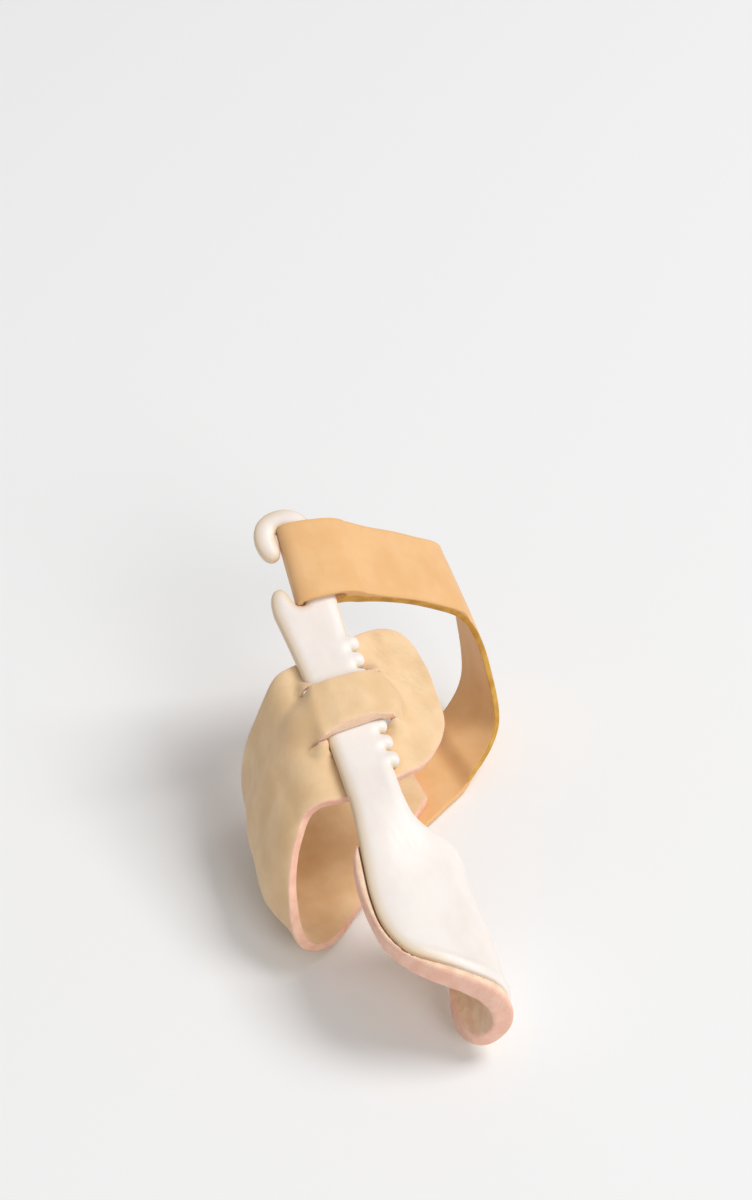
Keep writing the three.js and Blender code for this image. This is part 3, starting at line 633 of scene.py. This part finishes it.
def sling_outline():
    tab = (TAB_REACH, SLING_WIDTH * 0.86)
    front = [(-around * SLING_LENGTH, share * SLING_WIDTH) for around, share, _ in SLING_EDGES]
    rear = [(-around * SLING_LENGTH, share * SLING_WIDTH) for around, _, share in SLING_EDGES]
    bottom = spaced([tab, *front], SLING_STEP, closed=False)
    top = spaced([tab, *rear], SLING_STEP, closed=False)
    return np.vstack([bottom[::-1], top[1:]])


def slit_ring(slit):
    """A slit across the sling, clockwise, with pointed ends."""
    middle, lean = slit
    half = BAR_HALF + RAMP
    x = np.linspace(-half, half, 28)
    gap = SLIT_GAP * np.sqrt(np.clip(1 - (x / half) ** 4, 0.04, 1)) / 2
    x = x + BAR_MIDDLE
    lips = [np.column_stack([x, middle + lean * x + side * gap]) for side in (1, -1)]
    return np.vstack([lips[0], lips[1][::-1]])


slits = [slit_ring(slit) for slit in SLITS]
print("the sling's blank has", len(sling_outline()), "points round it, and each slit", len(slits[0]))


# %% [markdown]
# The sling is woven round the bar: the band between the slits passes over it, and the margins pass under
# it. The strip is laid on the form by its distance round it, so it keeps its length, as cloth does. The
# band is lifted by a smooth hump, and the margins rise a little beside the slits' ends to meet it. A cloth
# simulation would give folds by chance that the real one hasn't.

# %% Weave the sling round the bar
BAND_SPREAD = 10.0
MARGIN_SWELL = 4.8
SWELL_REACH = 3.2
LIP_LEAN = 1.5
LIP_FADE = 1.6
BAND_PINCH = 1.3
BAND_SAG = 1.7
EDGE_DROP = 0.3
EDGE_WIDTH = 2.2
FULL_RISE = 7.0
HIGH_RISE = 5.0
sling_tape = tape_at(SLING_WIDTH / 2)


def band_rise(x, y):
    """How far the band stands off the form, like a tent, and how far the margins swell beside the bar."""
    front, rear = (middle + lean * x for middle, lean in SLITS)
    share = np.clip((y - front) / (rear - front), 0, 1)
    bridge = SPLINT_THICKNESS + SLING_THICKNESS + 2 * CLEARANCE
    spread = RAMP - 0.5 + BAND_SPREAD * 4 * share * (1 - share)
    off = np.abs(x - BAR_MIDDLE) - BAR_HALF - 0.5
    fall = np.clip(off / spread, 0, 1)
    rise = bridge * (1 - fall) ** 3 * (1 + 2.4 * fall)
    away = np.maximum(front - y, y - rear)
    start = np.where(x < BAR_MIDDLE, -1.7, -1.15)
    beside = smoothstep(off, start, start + 0.6) * (1 - smoothstep(off, RAMP * 0.5, RAMP + 1.5))
    swell = MARGIN_SWELL * beside * np.exp(-((away / SWELL_REACH) ** 2))
    return np.where((share > 0) & (share < 1), rise, swell)


def place_sling(x, y, height, margin):
    level = height / SLING_THICKNESS
    # The band's front lip leans back, so that its cut edge shows from above.
    behind = y - SLITS[0][0] - SLITS[0][1] * x
    lean = np.where((behind > 0) & (np.abs(x - BAR_MIDDLE) < BAR_HALF), np.exp(-behind / LIP_FADE), 0)
    lean = lean * (1 - smoothstep(np.abs(x - BAR_MIDDLE), BAR_HALF * 0.5, BAR_HALF))
    point, normal = form_face(sling_tape(-x), y + LIP_LEAN * lean * level)
    soft = EDGE_DROP * np.clip(1 - margin / EDGE_WIDTH, 0, 1) ** 2
    # The band is pressed thin over the bar's edges, and stays full over its middle.
    rise = band_rise(x, y)
    aside = np.abs(x - BAR_MIDDLE) - BAR_HALF
    pinch = BAND_PINCH * smoothstep(aside, BAR_HALF * -0.65, 0.5) * np.clip(rise / FULL_RISE, 0, 1)
    # Its underside closes over the bar's edges and the teeth.
    sag = BAND_SAG * smoothstep(aside, -2.2, -0.3) * (rise > HIGH_RISE) * (1 - level)
    return point + normal * (rise - sag + level * (SLING_THICKNESS - soft - pinch))[:, None]


sling = drape("woven_sling", sling_outline(), slits, SLING_THICKNESS,
              rounding=0.35, grain=1.15, place=place_sling)


# %% [markdown]
# The instep strap is a long foam strip, folded round the hook's web and glued back on itself. Its section
# along its length is drawn once with the pen, with the loop as a hole. Folding a flat plane by hand would
# lose its thickness at the fold.

# %% The instep strap's section
STRAP_THICKNESS = 1.8
STRAP_LENGTH = 128.0
STRAP_OVERLAP = 18.0
STRAP_RETURN = 52.0
STRAP_GRAIN = 0.9


def strap_section():
    left = HOOK_WIDTH / 2 - WEB_WIDTH - CLEARANCE
    right = HOOK_WIDTH / 2 + CLEARANCE
    under = FORM_DROP - CLEARANCE
    over = FORM_DROP + SPLINT_THICKNESS + CLEARANCE
    join = right + 13
    seam = STRAP_LENGTH - STRAP_OVERLAP
    lift = SLING_THICKNESS + CLEARANCE
    t = STRAP_THICKNESS
    pen = Pen([(left + 1.5, under - t)])
    pen.line(right, under - t)
    pen.curve((right + 3, under - t), (join - 5, 0), (join, 0))
    pen.line(seam - 8, 0)
    pen.curve((seam - 5, 0), (seam - 4, lift), (seam - 1, lift))
    pen.line(STRAP_LENGTH, lift)
    pen.line(STRAP_LENGTH, lift + t)
    pen.line(seam - 1, lift + t)
    pen.curve((seam - 5, lift + t), (seam - 5, t), (seam - 9, t))
    pen.line(STRAP_RETURN + 4, t)
    pen.curve((STRAP_RETURN + 2, t), (STRAP_RETURN + 1, 2 * t), (STRAP_RETURN - 3, 2 * t))
    pen.line(join + 6, 2 * t)
    pen.curve((join - 3, 2 * t), (right + 5, over + t - 0.2), (right - 5, over + t))
    pen.line(left + 2.5, over + t)
    pen.curve((left - 0.5, over + t), (left - t, over + t - 1.5), (left - t, over - 0.5))
    pen.line(left - t, under + 0.5)
    pen.curve((left - t, under - 1), (left - 0.5, under - t), (left + 1.5, under - t))
    loop = Pen([(left, under + 0.6)])
    loop.line(left, over - 0.6)
    loop.curve((left, over), (left + 0.6, over))
    loop.line(right - 0.8, over)
    loop.curve((right + 1.2, over), (right + 2.2, over - 1.2), (right + 2.2, (over + under) / 2))
    loop.curve((right + 2.2, under + 1.2), (right + 1.2, under), (right - 0.8, under))
    loop.line(left + 0.6, under)
    loop.curve((left, under), (left, under + 0.6))
    return [even_ring(ring.ring(), STRAP_GRAIN) for ring in (pen, loop)]


strap_rings = strap_section()
print("the strap's section has", len(strap_rings[0]), "points round it, and its loop", len(strap_rings[1]))


# %% [markdown]
# The section is swept across the strap's width, in rows. Rows near the two cut edges are drawn a little
# smaller, which rounds them, and both ends are filled flat. A Screw or a Curve modifier could sweep it too,
# but the strap gets wider and leans on its way round, which a table gives row by row.

# %% Sweep the instep strap
STRAP_ROUNDING = 0.35
INNER_ROWS = 21
# Columns: place round the strap's length, how far its middle lies back, its width, as shares of its width.
STRAP_EDGES = [
    (-0.06, 0.01, 0.98), (0.02, 0.01, 0.97), (0.09, 0.02, 0.95), (0.16, 0.06, 0.92), (0.24, 0.06, 0.89),
    (0.34, 0.06, 0.89), (0.45, 0.1, 0.98), (0.58, -0.04, 1.08), (0.7, -0.45, 1.07), (0.82, -0.9, 1.1),
    (1, -1.55, 1.12),
]
strap_tape = tape_at(INSTEP_REACH)
strap_line = spline([(around * STRAP_LENGTH, back, width) for around, back, width in STRAP_EDGES])


def strap_rows():
    """Each row across the strap: the section's inset, a share of the width, and mm beside that share."""
    quarter = rounded_edge(STRAP_ROUNDING, [0, 45, 90])
    rows = [(inset, 0.0, depth) for inset, depth in quarter]
    rows += [(0.0, share, 0.0) for share in np.linspace(0, 1, INNER_ROWS + 2)[1:-1]]
    return rows + [(inset, 1.0, -depth) for inset, depth in reversed(quarter)]


def row_cut(section, row):
    """The section's points in one row: place along the strap, share of its width, mm beside it, height."""
    _, share, depth = row
    size = len(section)
    return np.column_stack([section[:, 0], np.full(size, share), np.full(size, depth), section[:, 1]])


def place_strap(cut):
    """Points in mm, with how far back each lies and how far it is from the nearer cut edge."""
    hook_y, _, hook_slope = profile_at(np.float64(REAR_LENGTH - ARM_WIDTH - MOUTH_LENGTH / 2))
    middle = hook_y + FORM_DROP * math.sin(hook_slope)
    back = np.interp(cut[:, 0], strap_line[:, 0], strap_line[:, 1])
    width = np.interp(cut[:, 0], strap_line[:, 0], strap_line[:, 2]) * STRAP_WIDTH
    y = middle + back * STRAP_WIDTH + width * (cut[:, 1] - 0.5) + cut[:, 2]
    # The fold follows the web, which is wider at the prong.
    slant = WEB_FLARE * (1 - cut[:, 1]) * (1 - smoothstep(cut[:, 0], 0, HOOK_WIDTH / 2))
    point, normal = form_face(strap_tape(slant - cut[:, 0]), y)
    margin = np.minimum(cut[:, 1], 1 - cut[:, 1]) * width + np.abs(cut[:, 2])
    return point + normal * cut[:, 3:4], y, margin


def side_faces(rings, rows, size):
    """Faces between the rows, with a 1 for each in a rounded edge and a 0 for the others."""
    faces = []
    rim = []
    start = 0
    for ring in rings:
        order = start + np.arange(len(ring))
        for k in range(len(rows) - 1):
            low, high = order + k * size, order + (k + 1) * size
            faces.append(np.column_stack([low, high, np.roll(high, -1), np.roll(low, -1)]))
            rim += [1 if k < 2 or k > len(rows) - 4 else 0] * len(ring)
        start += len(ring)
    return [face for block in faces for face in block], rim


def make_strap(rings):
    rows = strap_rows()
    size = sum(len(ring) for ring in rings)
    flat, triangles = fill_flat([inset_ring(ring, STRAP_ROUNDING) for ring in rings], STRAP_GRAIN)
    extra = flat[size:]
    cut = [row_cut(np.vstack([inset_ring(ring, row[0]) for ring in rings]), row) for row in rows]
    cut = np.vstack(cut + [row_cut(extra, rows[0]), row_cut(extra, rows[-1])])
    points, y, margin = place_strap(cut)
    faces, rim = side_faces(rings, rows, size)
    total = len(rows) * size
    home = np.concatenate([np.arange(size), total + np.arange(len(extra))])
    far = home + np.where(home < size, total - size, len(extra))
    faces += list(home[triangles]) + list(far[triangles][:, ::-1])
    rim += [1] * (2 * len(triangles))
    flat_places = np.column_stack([cut[:, 0], y, cut[:, 3]])
    return build_mesh("instep_strap_foam", points, faces, rim, flat_places, margin)


strap = make_strap(strap_rings)


# %% [markdown]
# Finishes are built from nodes. To keep the sums readable, a small class wraps a socket, so that adding or
# multiplying it in Python adds a Math node. The nodes could also be made and linked one by one, but then a
# sum of three terms takes a dozen lines.

# %% A socket that can be used in a sum
class Value:
    def __init__(self, finish, socket):
        self.finish = finish
        self.socket = socket

    def sum(self, operation, first, second):
        return self.finish.node("ShaderNodeMath", {"operation": operation}, {0: first, 1: second})

    def __add__(self, other):
        return self.sum("ADD", self, other)

    def __radd__(self, other):
        return self.sum("ADD", other, self)

    def __sub__(self, other):
        return self.sum("SUBTRACT", self, other)

    def __rsub__(self, other):
        return self.sum("SUBTRACT", other, self)

    def __mul__(self, other):
        return self.sum("MULTIPLY", self, other)

    def __rmul__(self, other):
        return self.sum("MULTIPLY", other, self)


print("sums of sockets: plus, minus and times, either way round")


# %% [markdown]
# Each material is one finish: its shader, and the nodes that feed it. Colours go through Mix nodes, places
# through Vector Math, and any other node comes from one method that takes its settings and its inputs. All
# patterns are laid out in mm on the flat blank, as on real sheet, so they bend with the piece. Object
# coordinates would cut through the bends instead.

# %% A finish and its nodes
class Finish:
    def __init__(self, name, **constants):
        self.material = bpy.data.materials.new(name)
        self.material.use_nodes = True
        self.tree = self.material.node_tree
        self.tree.nodes.clear()
        self.shader = self.tree.nodes.new("ShaderNodeBsdfPrincipled")
        output = self.tree.nodes.new("ShaderNodeOutputMaterial")
        self.tree.links.new(self.shader.outputs["BSDF"], output.inputs["Surface"])
        for socket, value in constants.items():
            self.shader.inputs[socket.replace("_", " ")].default_value = value

    def node(self, kind, settings=None, inputs=None, output=0):
        made = self.tree.nodes.new(kind)
        for name, value in (settings or {}).items():
            setattr(made, name, value)
        for name, value in (inputs or {}).items():
            self.feed(made.inputs[name], value)
        return Value(self, made.outputs[output])

    def feed(self, socket, value):
        if isinstance(value, Value):
            self.tree.links.new(value.socket, socket)
        else:
            socket.default_value = value

    def colour_mix(self, share, first, second):
        """The first colour turned into the second by a share. Inputs 6 and 7 of the node are its colours."""
        first, second = (c if isinstance(c, Value) else (*c, 1) for c in (first, second))
        return self.node("ShaderNodeMix", {"data_type": "RGBA"}, {0: share, 6: first, 7: second}, output=2)

    def stretched(self, place, scale):
        return self.node("ShaderNodeVectorMath", {"operation": "MULTIPLY"}, {0: place, 1: scale})

    def turned(self, place, degrees):
        inputs = {"Vector": place, "Angle": math.radians(degrees)}
        return self.node("ShaderNodeVectorRotate", {"rotation_type": "Z_AXIS"}, inputs)

    def cut_place(self, *scale):
        """The place on the flat blank, in mm, times one scale or one for each axis."""
        place = self.node("ShaderNodeAttribute", {"attribute_name": "cut"}, output="Vector")
        return self.stretched(place, scale * 3 if len(scale) == 1 else scale)

    def cut_axis(self, axis):
        """One number of the place on the flat blank, in mm."""
        return self.node("ShaderNodeSeparateXYZ", None, {"Vector": self.cut_place(1)}, output=axis)

    def noise(self, place, scale, detail=3.0, roughness=0.5):
        inputs = {"Vector": place, "Scale": scale, "Detail": detail, "Roughness": roughness}
        return self.node("ShaderNodeTexNoise", None, inputs, output="Fac")

    def cells(self, place):
        return self.node("ShaderNodeTexVoronoi", None, {"Vector": place, "Scale": 1.0}, output="Distance")

    def spread(self, value, low, high, to_low=0.0, to_high=1.0):
        """Spreads a part of a value's range over another range, and stops at its ends."""
        inputs = {0: value, 1: low, 2: high, 3: to_low, 4: to_high}
        return self.node("ShaderNodeMapRange", {"interpolation_type": "SMOOTHSTEP"}, inputs)

    def near_rim(self, width):
        """One at the rim of the blank, and nothing a width in mm away from it."""
        margin = self.node("ShaderNodeAttribute", {"attribute_name": "margin"}, output="Fac")
        return 1 - self.spread(margin, 0.0, width)

    def relief(self, height, distance, strength):
        inputs = {"Height": height, "Distance": distance, "Strength": strength}
        self.feed(self.shader.inputs["Normal"], self.node("ShaderNodeBump", None, inputs))

    def show(self, **inputs):
        for name, value in inputs.items():
            self.feed(self.shader.inputs[name.replace("_", " ")], value)
        return self.material


print("a finish can mix colours, turn and stretch places, and make noise, cells and relief")


# %% [markdown]
# The splint's plastic is a soft, slightly translucent off-white with a satin surface. Moulded plastic is
# never quite even: its tone drifts slowly, its gloss is broken by fine handling marks, and thin rims let
# warm light through. A little subsurface scattering gives the last, and slow and fine noise give the rest.
#

# %% Satin plastic
def satin_plastic():
    finish = Finish("satin_plastic", IOR=1.46, Subsurface_Weight=0.12, Subsurface_Scale=0.004,
                    Subsurface_Radius=(1.0, 0.55, 0.3))
    across = finish.cut_axis("X")
    along = finish.cut_axis("Y")
    drift = finish.noise(finish.cut_place(0.1, 0.06, 0.1), 1.3, 2.0)
    fine = finish.noise(finish.cut_place(2.4, 2.0, 2.4), 1.0, 4.0, 0.6)
    marks = finish.noise(finish.cut_place(0.9, 0.12, 0.9), 1.5, 3.0)
    tone = finish.colour_mix(finish.spread(drift, 0.35, 0.65), (0.865, 0.785, 0.73), (0.905, 0.83, 0.78))
    # The left edge is tinted with a painted warm reflection and painted shade, and the notches between the
    # teeth with painted shade.
    left = 1 - finish.spread(across, -3.0, 9.0)
    tone = finish.colour_mix(finish.near_rim(3.2) * left * 0.6, tone, (0.76, 0.54, 0.28))
    # Painted shade: the notches between the teeth are darkened to a warm brown.
    toothed = finish.spread(across, 5.5, 7.5) * finish.spread(along, 2.0, 6.0)
    notch_shade = finish.near_rim(1.2) * toothed * (1 - finish.spread(across, 8.8, 10.6))
    tone = finish.colour_mix(notch_shade * 0.6, tone, (0.78, 0.60, 0.30))
    finish.relief(fine * 0.5 + drift, 0.00006, 0.5)
    return finish.show(Base_Color=tone, Roughness=finish.spread(marks, 0.3, 0.75, 0.30, 0.46))


plastic = satin_plastic()
splint.data.materials.append(plastic)
splint.data.materials.append(plastic)
print("splint finish:", plastic.name)


# %% [markdown]
# The sling is foam with a smooth fabric skin laminated to it. The skin has a fine even grain and takes
# small creases where it bends. Fine slanting wrinkles gather on the tab, where the band pulls on it, and
# hardly anywhere else. They could be sculpted, but relief from noise stays sharp at this scale.

# %% Skinned foam
def foam_skin(name, light, deep, rim_tone, grain, creases):
    finish = Finish(name, IOR=1.45, Sheen_Weight=0.25, Sheen_Roughness=0.5)
    drift = finish.noise(finish.cut_place(0.08), 1.4, 3.0)
    weave = finish.noise(finish.cut_place(3.4 * grain), 1.0, 2.0, 0.7)
    cloud = finish.noise(finish.cut_place(0.55, 0.4, 0.5), 1.0, 4.0, 0.6)
    tone = finish.colour_mix(finish.spread(drift, 0.3, 0.7), light, deep)
    tone = finish.colour_mix(finish.spread(cloud, 0.45, 0.8) * 0.25, tone, deep)
    tone = finish.colour_mix(finish.near_rim(1.3) * 0.6, tone, rim_tone)
    slanted = finish.stretched(finish.turned(finish.cut_place(1), 38), (0.16, 1.15, 0.5))
    wrinkles = finish.spread(finish.noise(slanted, 1.0, 2.0), 0.42, 0.62)
    patches = finish.spread(finish.noise(finish.cut_place(0.13), 1.0, 1.0), 0.42, 0.6)
    pulled = finish.spread(finish.cut_axis("X"), 12.0, 19.0) * patches * creases
    height = weave * 0.6 + cloud * 1.2 * creases + wrinkles * pulled * 2.6
    # Painted highlight: the crests of the wrinkles on the tab are lightened towards the light tone.
    tone = finish.colour_mix(wrinkles * pulled * 0.3, tone, light)
    finish.relief(height, 0.00022, 0.55)
    return finish.show(Base_Color=tone, Roughness=finish.spread(cloud, 0.2, 0.8, 0.62, 0.78))


SLING_TONES = [(0.90, 0.64, 0.375), (0.81, 0.54, 0.285), (0.88, 0.60, 0.42)]
STRAP_TONES = [(0.865, 0.515, 0.235), (0.815, 0.46, 0.19), (0.82, 0.46, 0.16)]
sling.data.materials.append(foam_skin("sling_skin", *SLING_TONES, grain=1.0, creases=0.6))
strap.data.materials.append(foam_skin("strap_skin", *STRAP_TONES, grain=1.3, creases=0.0))
print("skins:", sling.data.materials[0].name, strap.data.materials[0].name)


# %% [markdown]
# The die's cut lays the foam core bare, in another colour and full of pores. Skin and core are separate
# materials, and the rim's faces wear the core. Pores are the cells of a Voronoi pattern, in two sizes.
# Plain noise would give bumps with no round holes.

# %% Bare foam
def bare_foam(name, light, deep, pore=1.0, fold=None, lip=None):
    finish = Finish(name, IOR=1.4, Subsurface_Weight=0.08, Subsurface_Scale=0.003)
    across = finish.cut_axis("X")
    drift = finish.noise(finish.cut_place(0.18), 1.5, 2.0)
    large = finish.cells(finish.cut_place(2.2 * pore))
    small = finish.cells(finish.cut_place(5.0 * pore))
    pits = finish.spread(large, 0.1, 0.6) * 0.6 + finish.spread(small, 0.1, 0.55) * 0.4
    tone = finish.colour_mix(finish.spread(drift, 0.3, 0.7), light, deep)
    tone = finish.colour_mix((1 - pits) * 0.35, tone, deep)
    if fold is not None:
        # The outer layer's edge keeps the skin's colour, and so does all of the edge over the fold.
        # Below the outer layer the edge keeps the golden core colour: the return layer's own core, and
        # painted shade in the gap under the outer layer.
        over_bar = 1 - finish.spread(across, 10.0, 26.0)
        layer = 3.1 + over_bar * 1.6 - finish.spread(across, 46.0, 54.0) * 0.9
        under = 1 - finish.spread(finish.cut_axis("Z") - layer, -0.3, 0.3)
        tone = finish.colour_mix(finish.spread(across, 7.0, 11.0) * under, fold, tone)
    if lip is not None:
        # The slits' lips are painted paler than the outer edge: painted light that lifts the shade on them.
        along = finish.cut_axis("Y")
        between = finish.spread(along, 12.0, 16.0) * (1 - finish.spread(along, 35.0, 38.0))
        beside = finish.spread(across, -14.0, -11.0) * (1 - finish.spread(across, 15.0, 18.0))
        tone = finish.colour_mix(between * beside * 0.7, tone, lip)
    finish.relief(pits, 0.00025, 0.5)
    return finish.show(Base_Color=tone, Roughness=finish.spread(pits, 0.0, 1.0, 0.9, 0.75))


# The sling's core and the pad's rim hold the foam's own pink, set lighter as painted light on rims that face
# down into shade.
SLING_CORE = [(0.98, 0.63, 0.48), (0.90, 0.52, 0.38)]
STRAP_CORE = [(0.78, 0.45, 0.10), (0.58, 0.30, 0.05)]
PAD_FACE = [(1.0, 0.79, 0.56), (0.90, 0.62, 0.44)]
PAD_RIM = [(0.98, 0.64, 0.50), (0.90, 0.53, 0.40)]
sling.data.materials.append(bare_foam("sling_core", *SLING_CORE, lip=(0.95, 0.70, 0.48)))
strap.data.materials.append(bare_foam("strap_core", *STRAP_CORE, pore=1.4, fold=(0.88, 0.52, 0.24)))
pad.data.materials.append(bare_foam("pad_foam_face", *PAD_FACE, pore=1.3))
pad.data.materials.append(bare_foam("pad_foam_rim", *PAD_RIM))
print("foam finishes:", [m.name for o in (sling, pad, strap) for m in o.data.materials])


# %% [markdown]
# The fine pieces stand for the solids of the frame, and all of it is one body. Each piece is put in that body
# and its solid is hidden. The sling's blank isn't a rectangle, so its outline is measured for its area, less
# the slits.

# %% Put each piece in the body and hide its solid
def ring_area(ring):
    after = np.roll(ring, -1, 0)
    return abs(float((ring[:, 0] * after[:, 1] - ring[:, 1] * after[:, 0]).sum())) / 2


for piece, node, slot in (
    (splint, "splint", "splint_plastic"),
    (pad, "toe_pad", "pad_foam"),
    (sling, "ball_sling", "sling_foam"),
    (strap, "instep_strap", "strap_foam"),
):
    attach(piece, "root")
    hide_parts(node)

sling_cut = sling_outline()
sling_area = (ring_area(sling_cut) - sum(ring_area(slit) for slit in slits)) / 1e6


# %% [markdown]
# The camera stands at the photograph's angle: high, in front of the scoop, and a little to the sling's
# side. It could be placed by hand, but an azimuth, an elevation and a distance from one point can be
# fitted. Its lens follows from the focal length in pixels of a picture that is 1200 pixels high.

# %% The camera
AZIMUTH = math.radians(-18.5)
ELEVATION = math.radians(37)
DISTANCE = 620.0
TARGET = Vector((28, 76, 40))
FOCAL_PIXELS = 2077
PICTURE_HEIGHT = 1200
SENSOR_HEIGHT = 36
towards = Vector((
    math.sin(AZIMUTH) * math.cos(ELEVATION),
    -math.cos(AZIMUTH) * math.cos(ELEVATION),
    math.sin(ELEVATION),
))
camera_data = bpy.data.cameras.new("camera")
camera_data.sensor_fit = "VERTICAL"
camera_data.sensor_height = SENSOR_HEIGHT
camera_data.lens = FOCAL_PIXELS * SENSOR_HEIGHT / PICTURE_HEIGHT
camera = bpy.data.objects.new("camera", camera_data)
camera.location = (TARGET + towards * DISTANCE) / 1000
camera.rotation_euler = towards.to_track_quat("Z", "Y").to_euler()
bpy.context.collection.objects.link(camera)
bpy.context.scene.camera = camera
print("camera at", [round(v, 3) for v in camera.location])


# %% [markdown]
# The stage is a plain pale floor with soft studio light: one large lamp high on the right, a weaker one in
# front to open the shadows, and a pale world. A sun lamp would be quicker, but its hard shadows would hide
# the small forms that large lamps show gently.

# %% Floor and light
FLOOR_REACH = 12.0
FLOOR_GAP = 0.0004
floor_height = bounds_at_load[0][2] - FLOOR_GAP
floor_mesh = bpy.data.meshes.new("floor")
directions = [(-1, -1), (1, -1), (1, 1), (-1, 1)]
corners = [(x * FLOOR_REACH, y * FLOOR_REACH, floor_height) for x, y in directions]
floor_mesh.from_pydata(corners, [], [(0, 1, 2, 3)])
floor = bpy.data.objects.new("floor", floor_mesh)
bpy.context.collection.objects.link(floor)
floor_finish = Finish("pale_floor", Roughness=0.8)
floor_mesh.materials.append(floor_finish.show(Base_Color=(0.93, 0.93, 0.93, 1)))


def soft_lamp(name, place, size, power):
    data = bpy.data.lights.new(name, "AREA")
    data.size = size
    data.energy = power
    lamp = bpy.data.objects.new(name, data)
    lamp.location = place
    lamp.rotation_euler = Vector(place).to_track_quat("Z", "Y").to_euler()
    bpy.context.collection.objects.link(lamp)


soft_lamp("high_right", (2.8, -0.2, 4.2), 2.2, 140)
soft_lamp("low_front", (0.8, -3.4, 2.2), 1.8, 46)
world = bpy.data.worlds.new("pale_world")
world.use_nodes = True
backdrop = world.node_tree.nodes["Background"]
backdrop.inputs["Color"].default_value = (1, 1, 1, 1)
backdrop.inputs["Strength"].default_value = 0.38
bpy.context.scene.world = world
# Colours are shown as they are set, so that the pale foams keep their warmth.
bpy.context.scene.view_settings.view_transform = "Standard"
print("floor and two lamps stand ready, the floor at", round(floor_height, 4), "m")
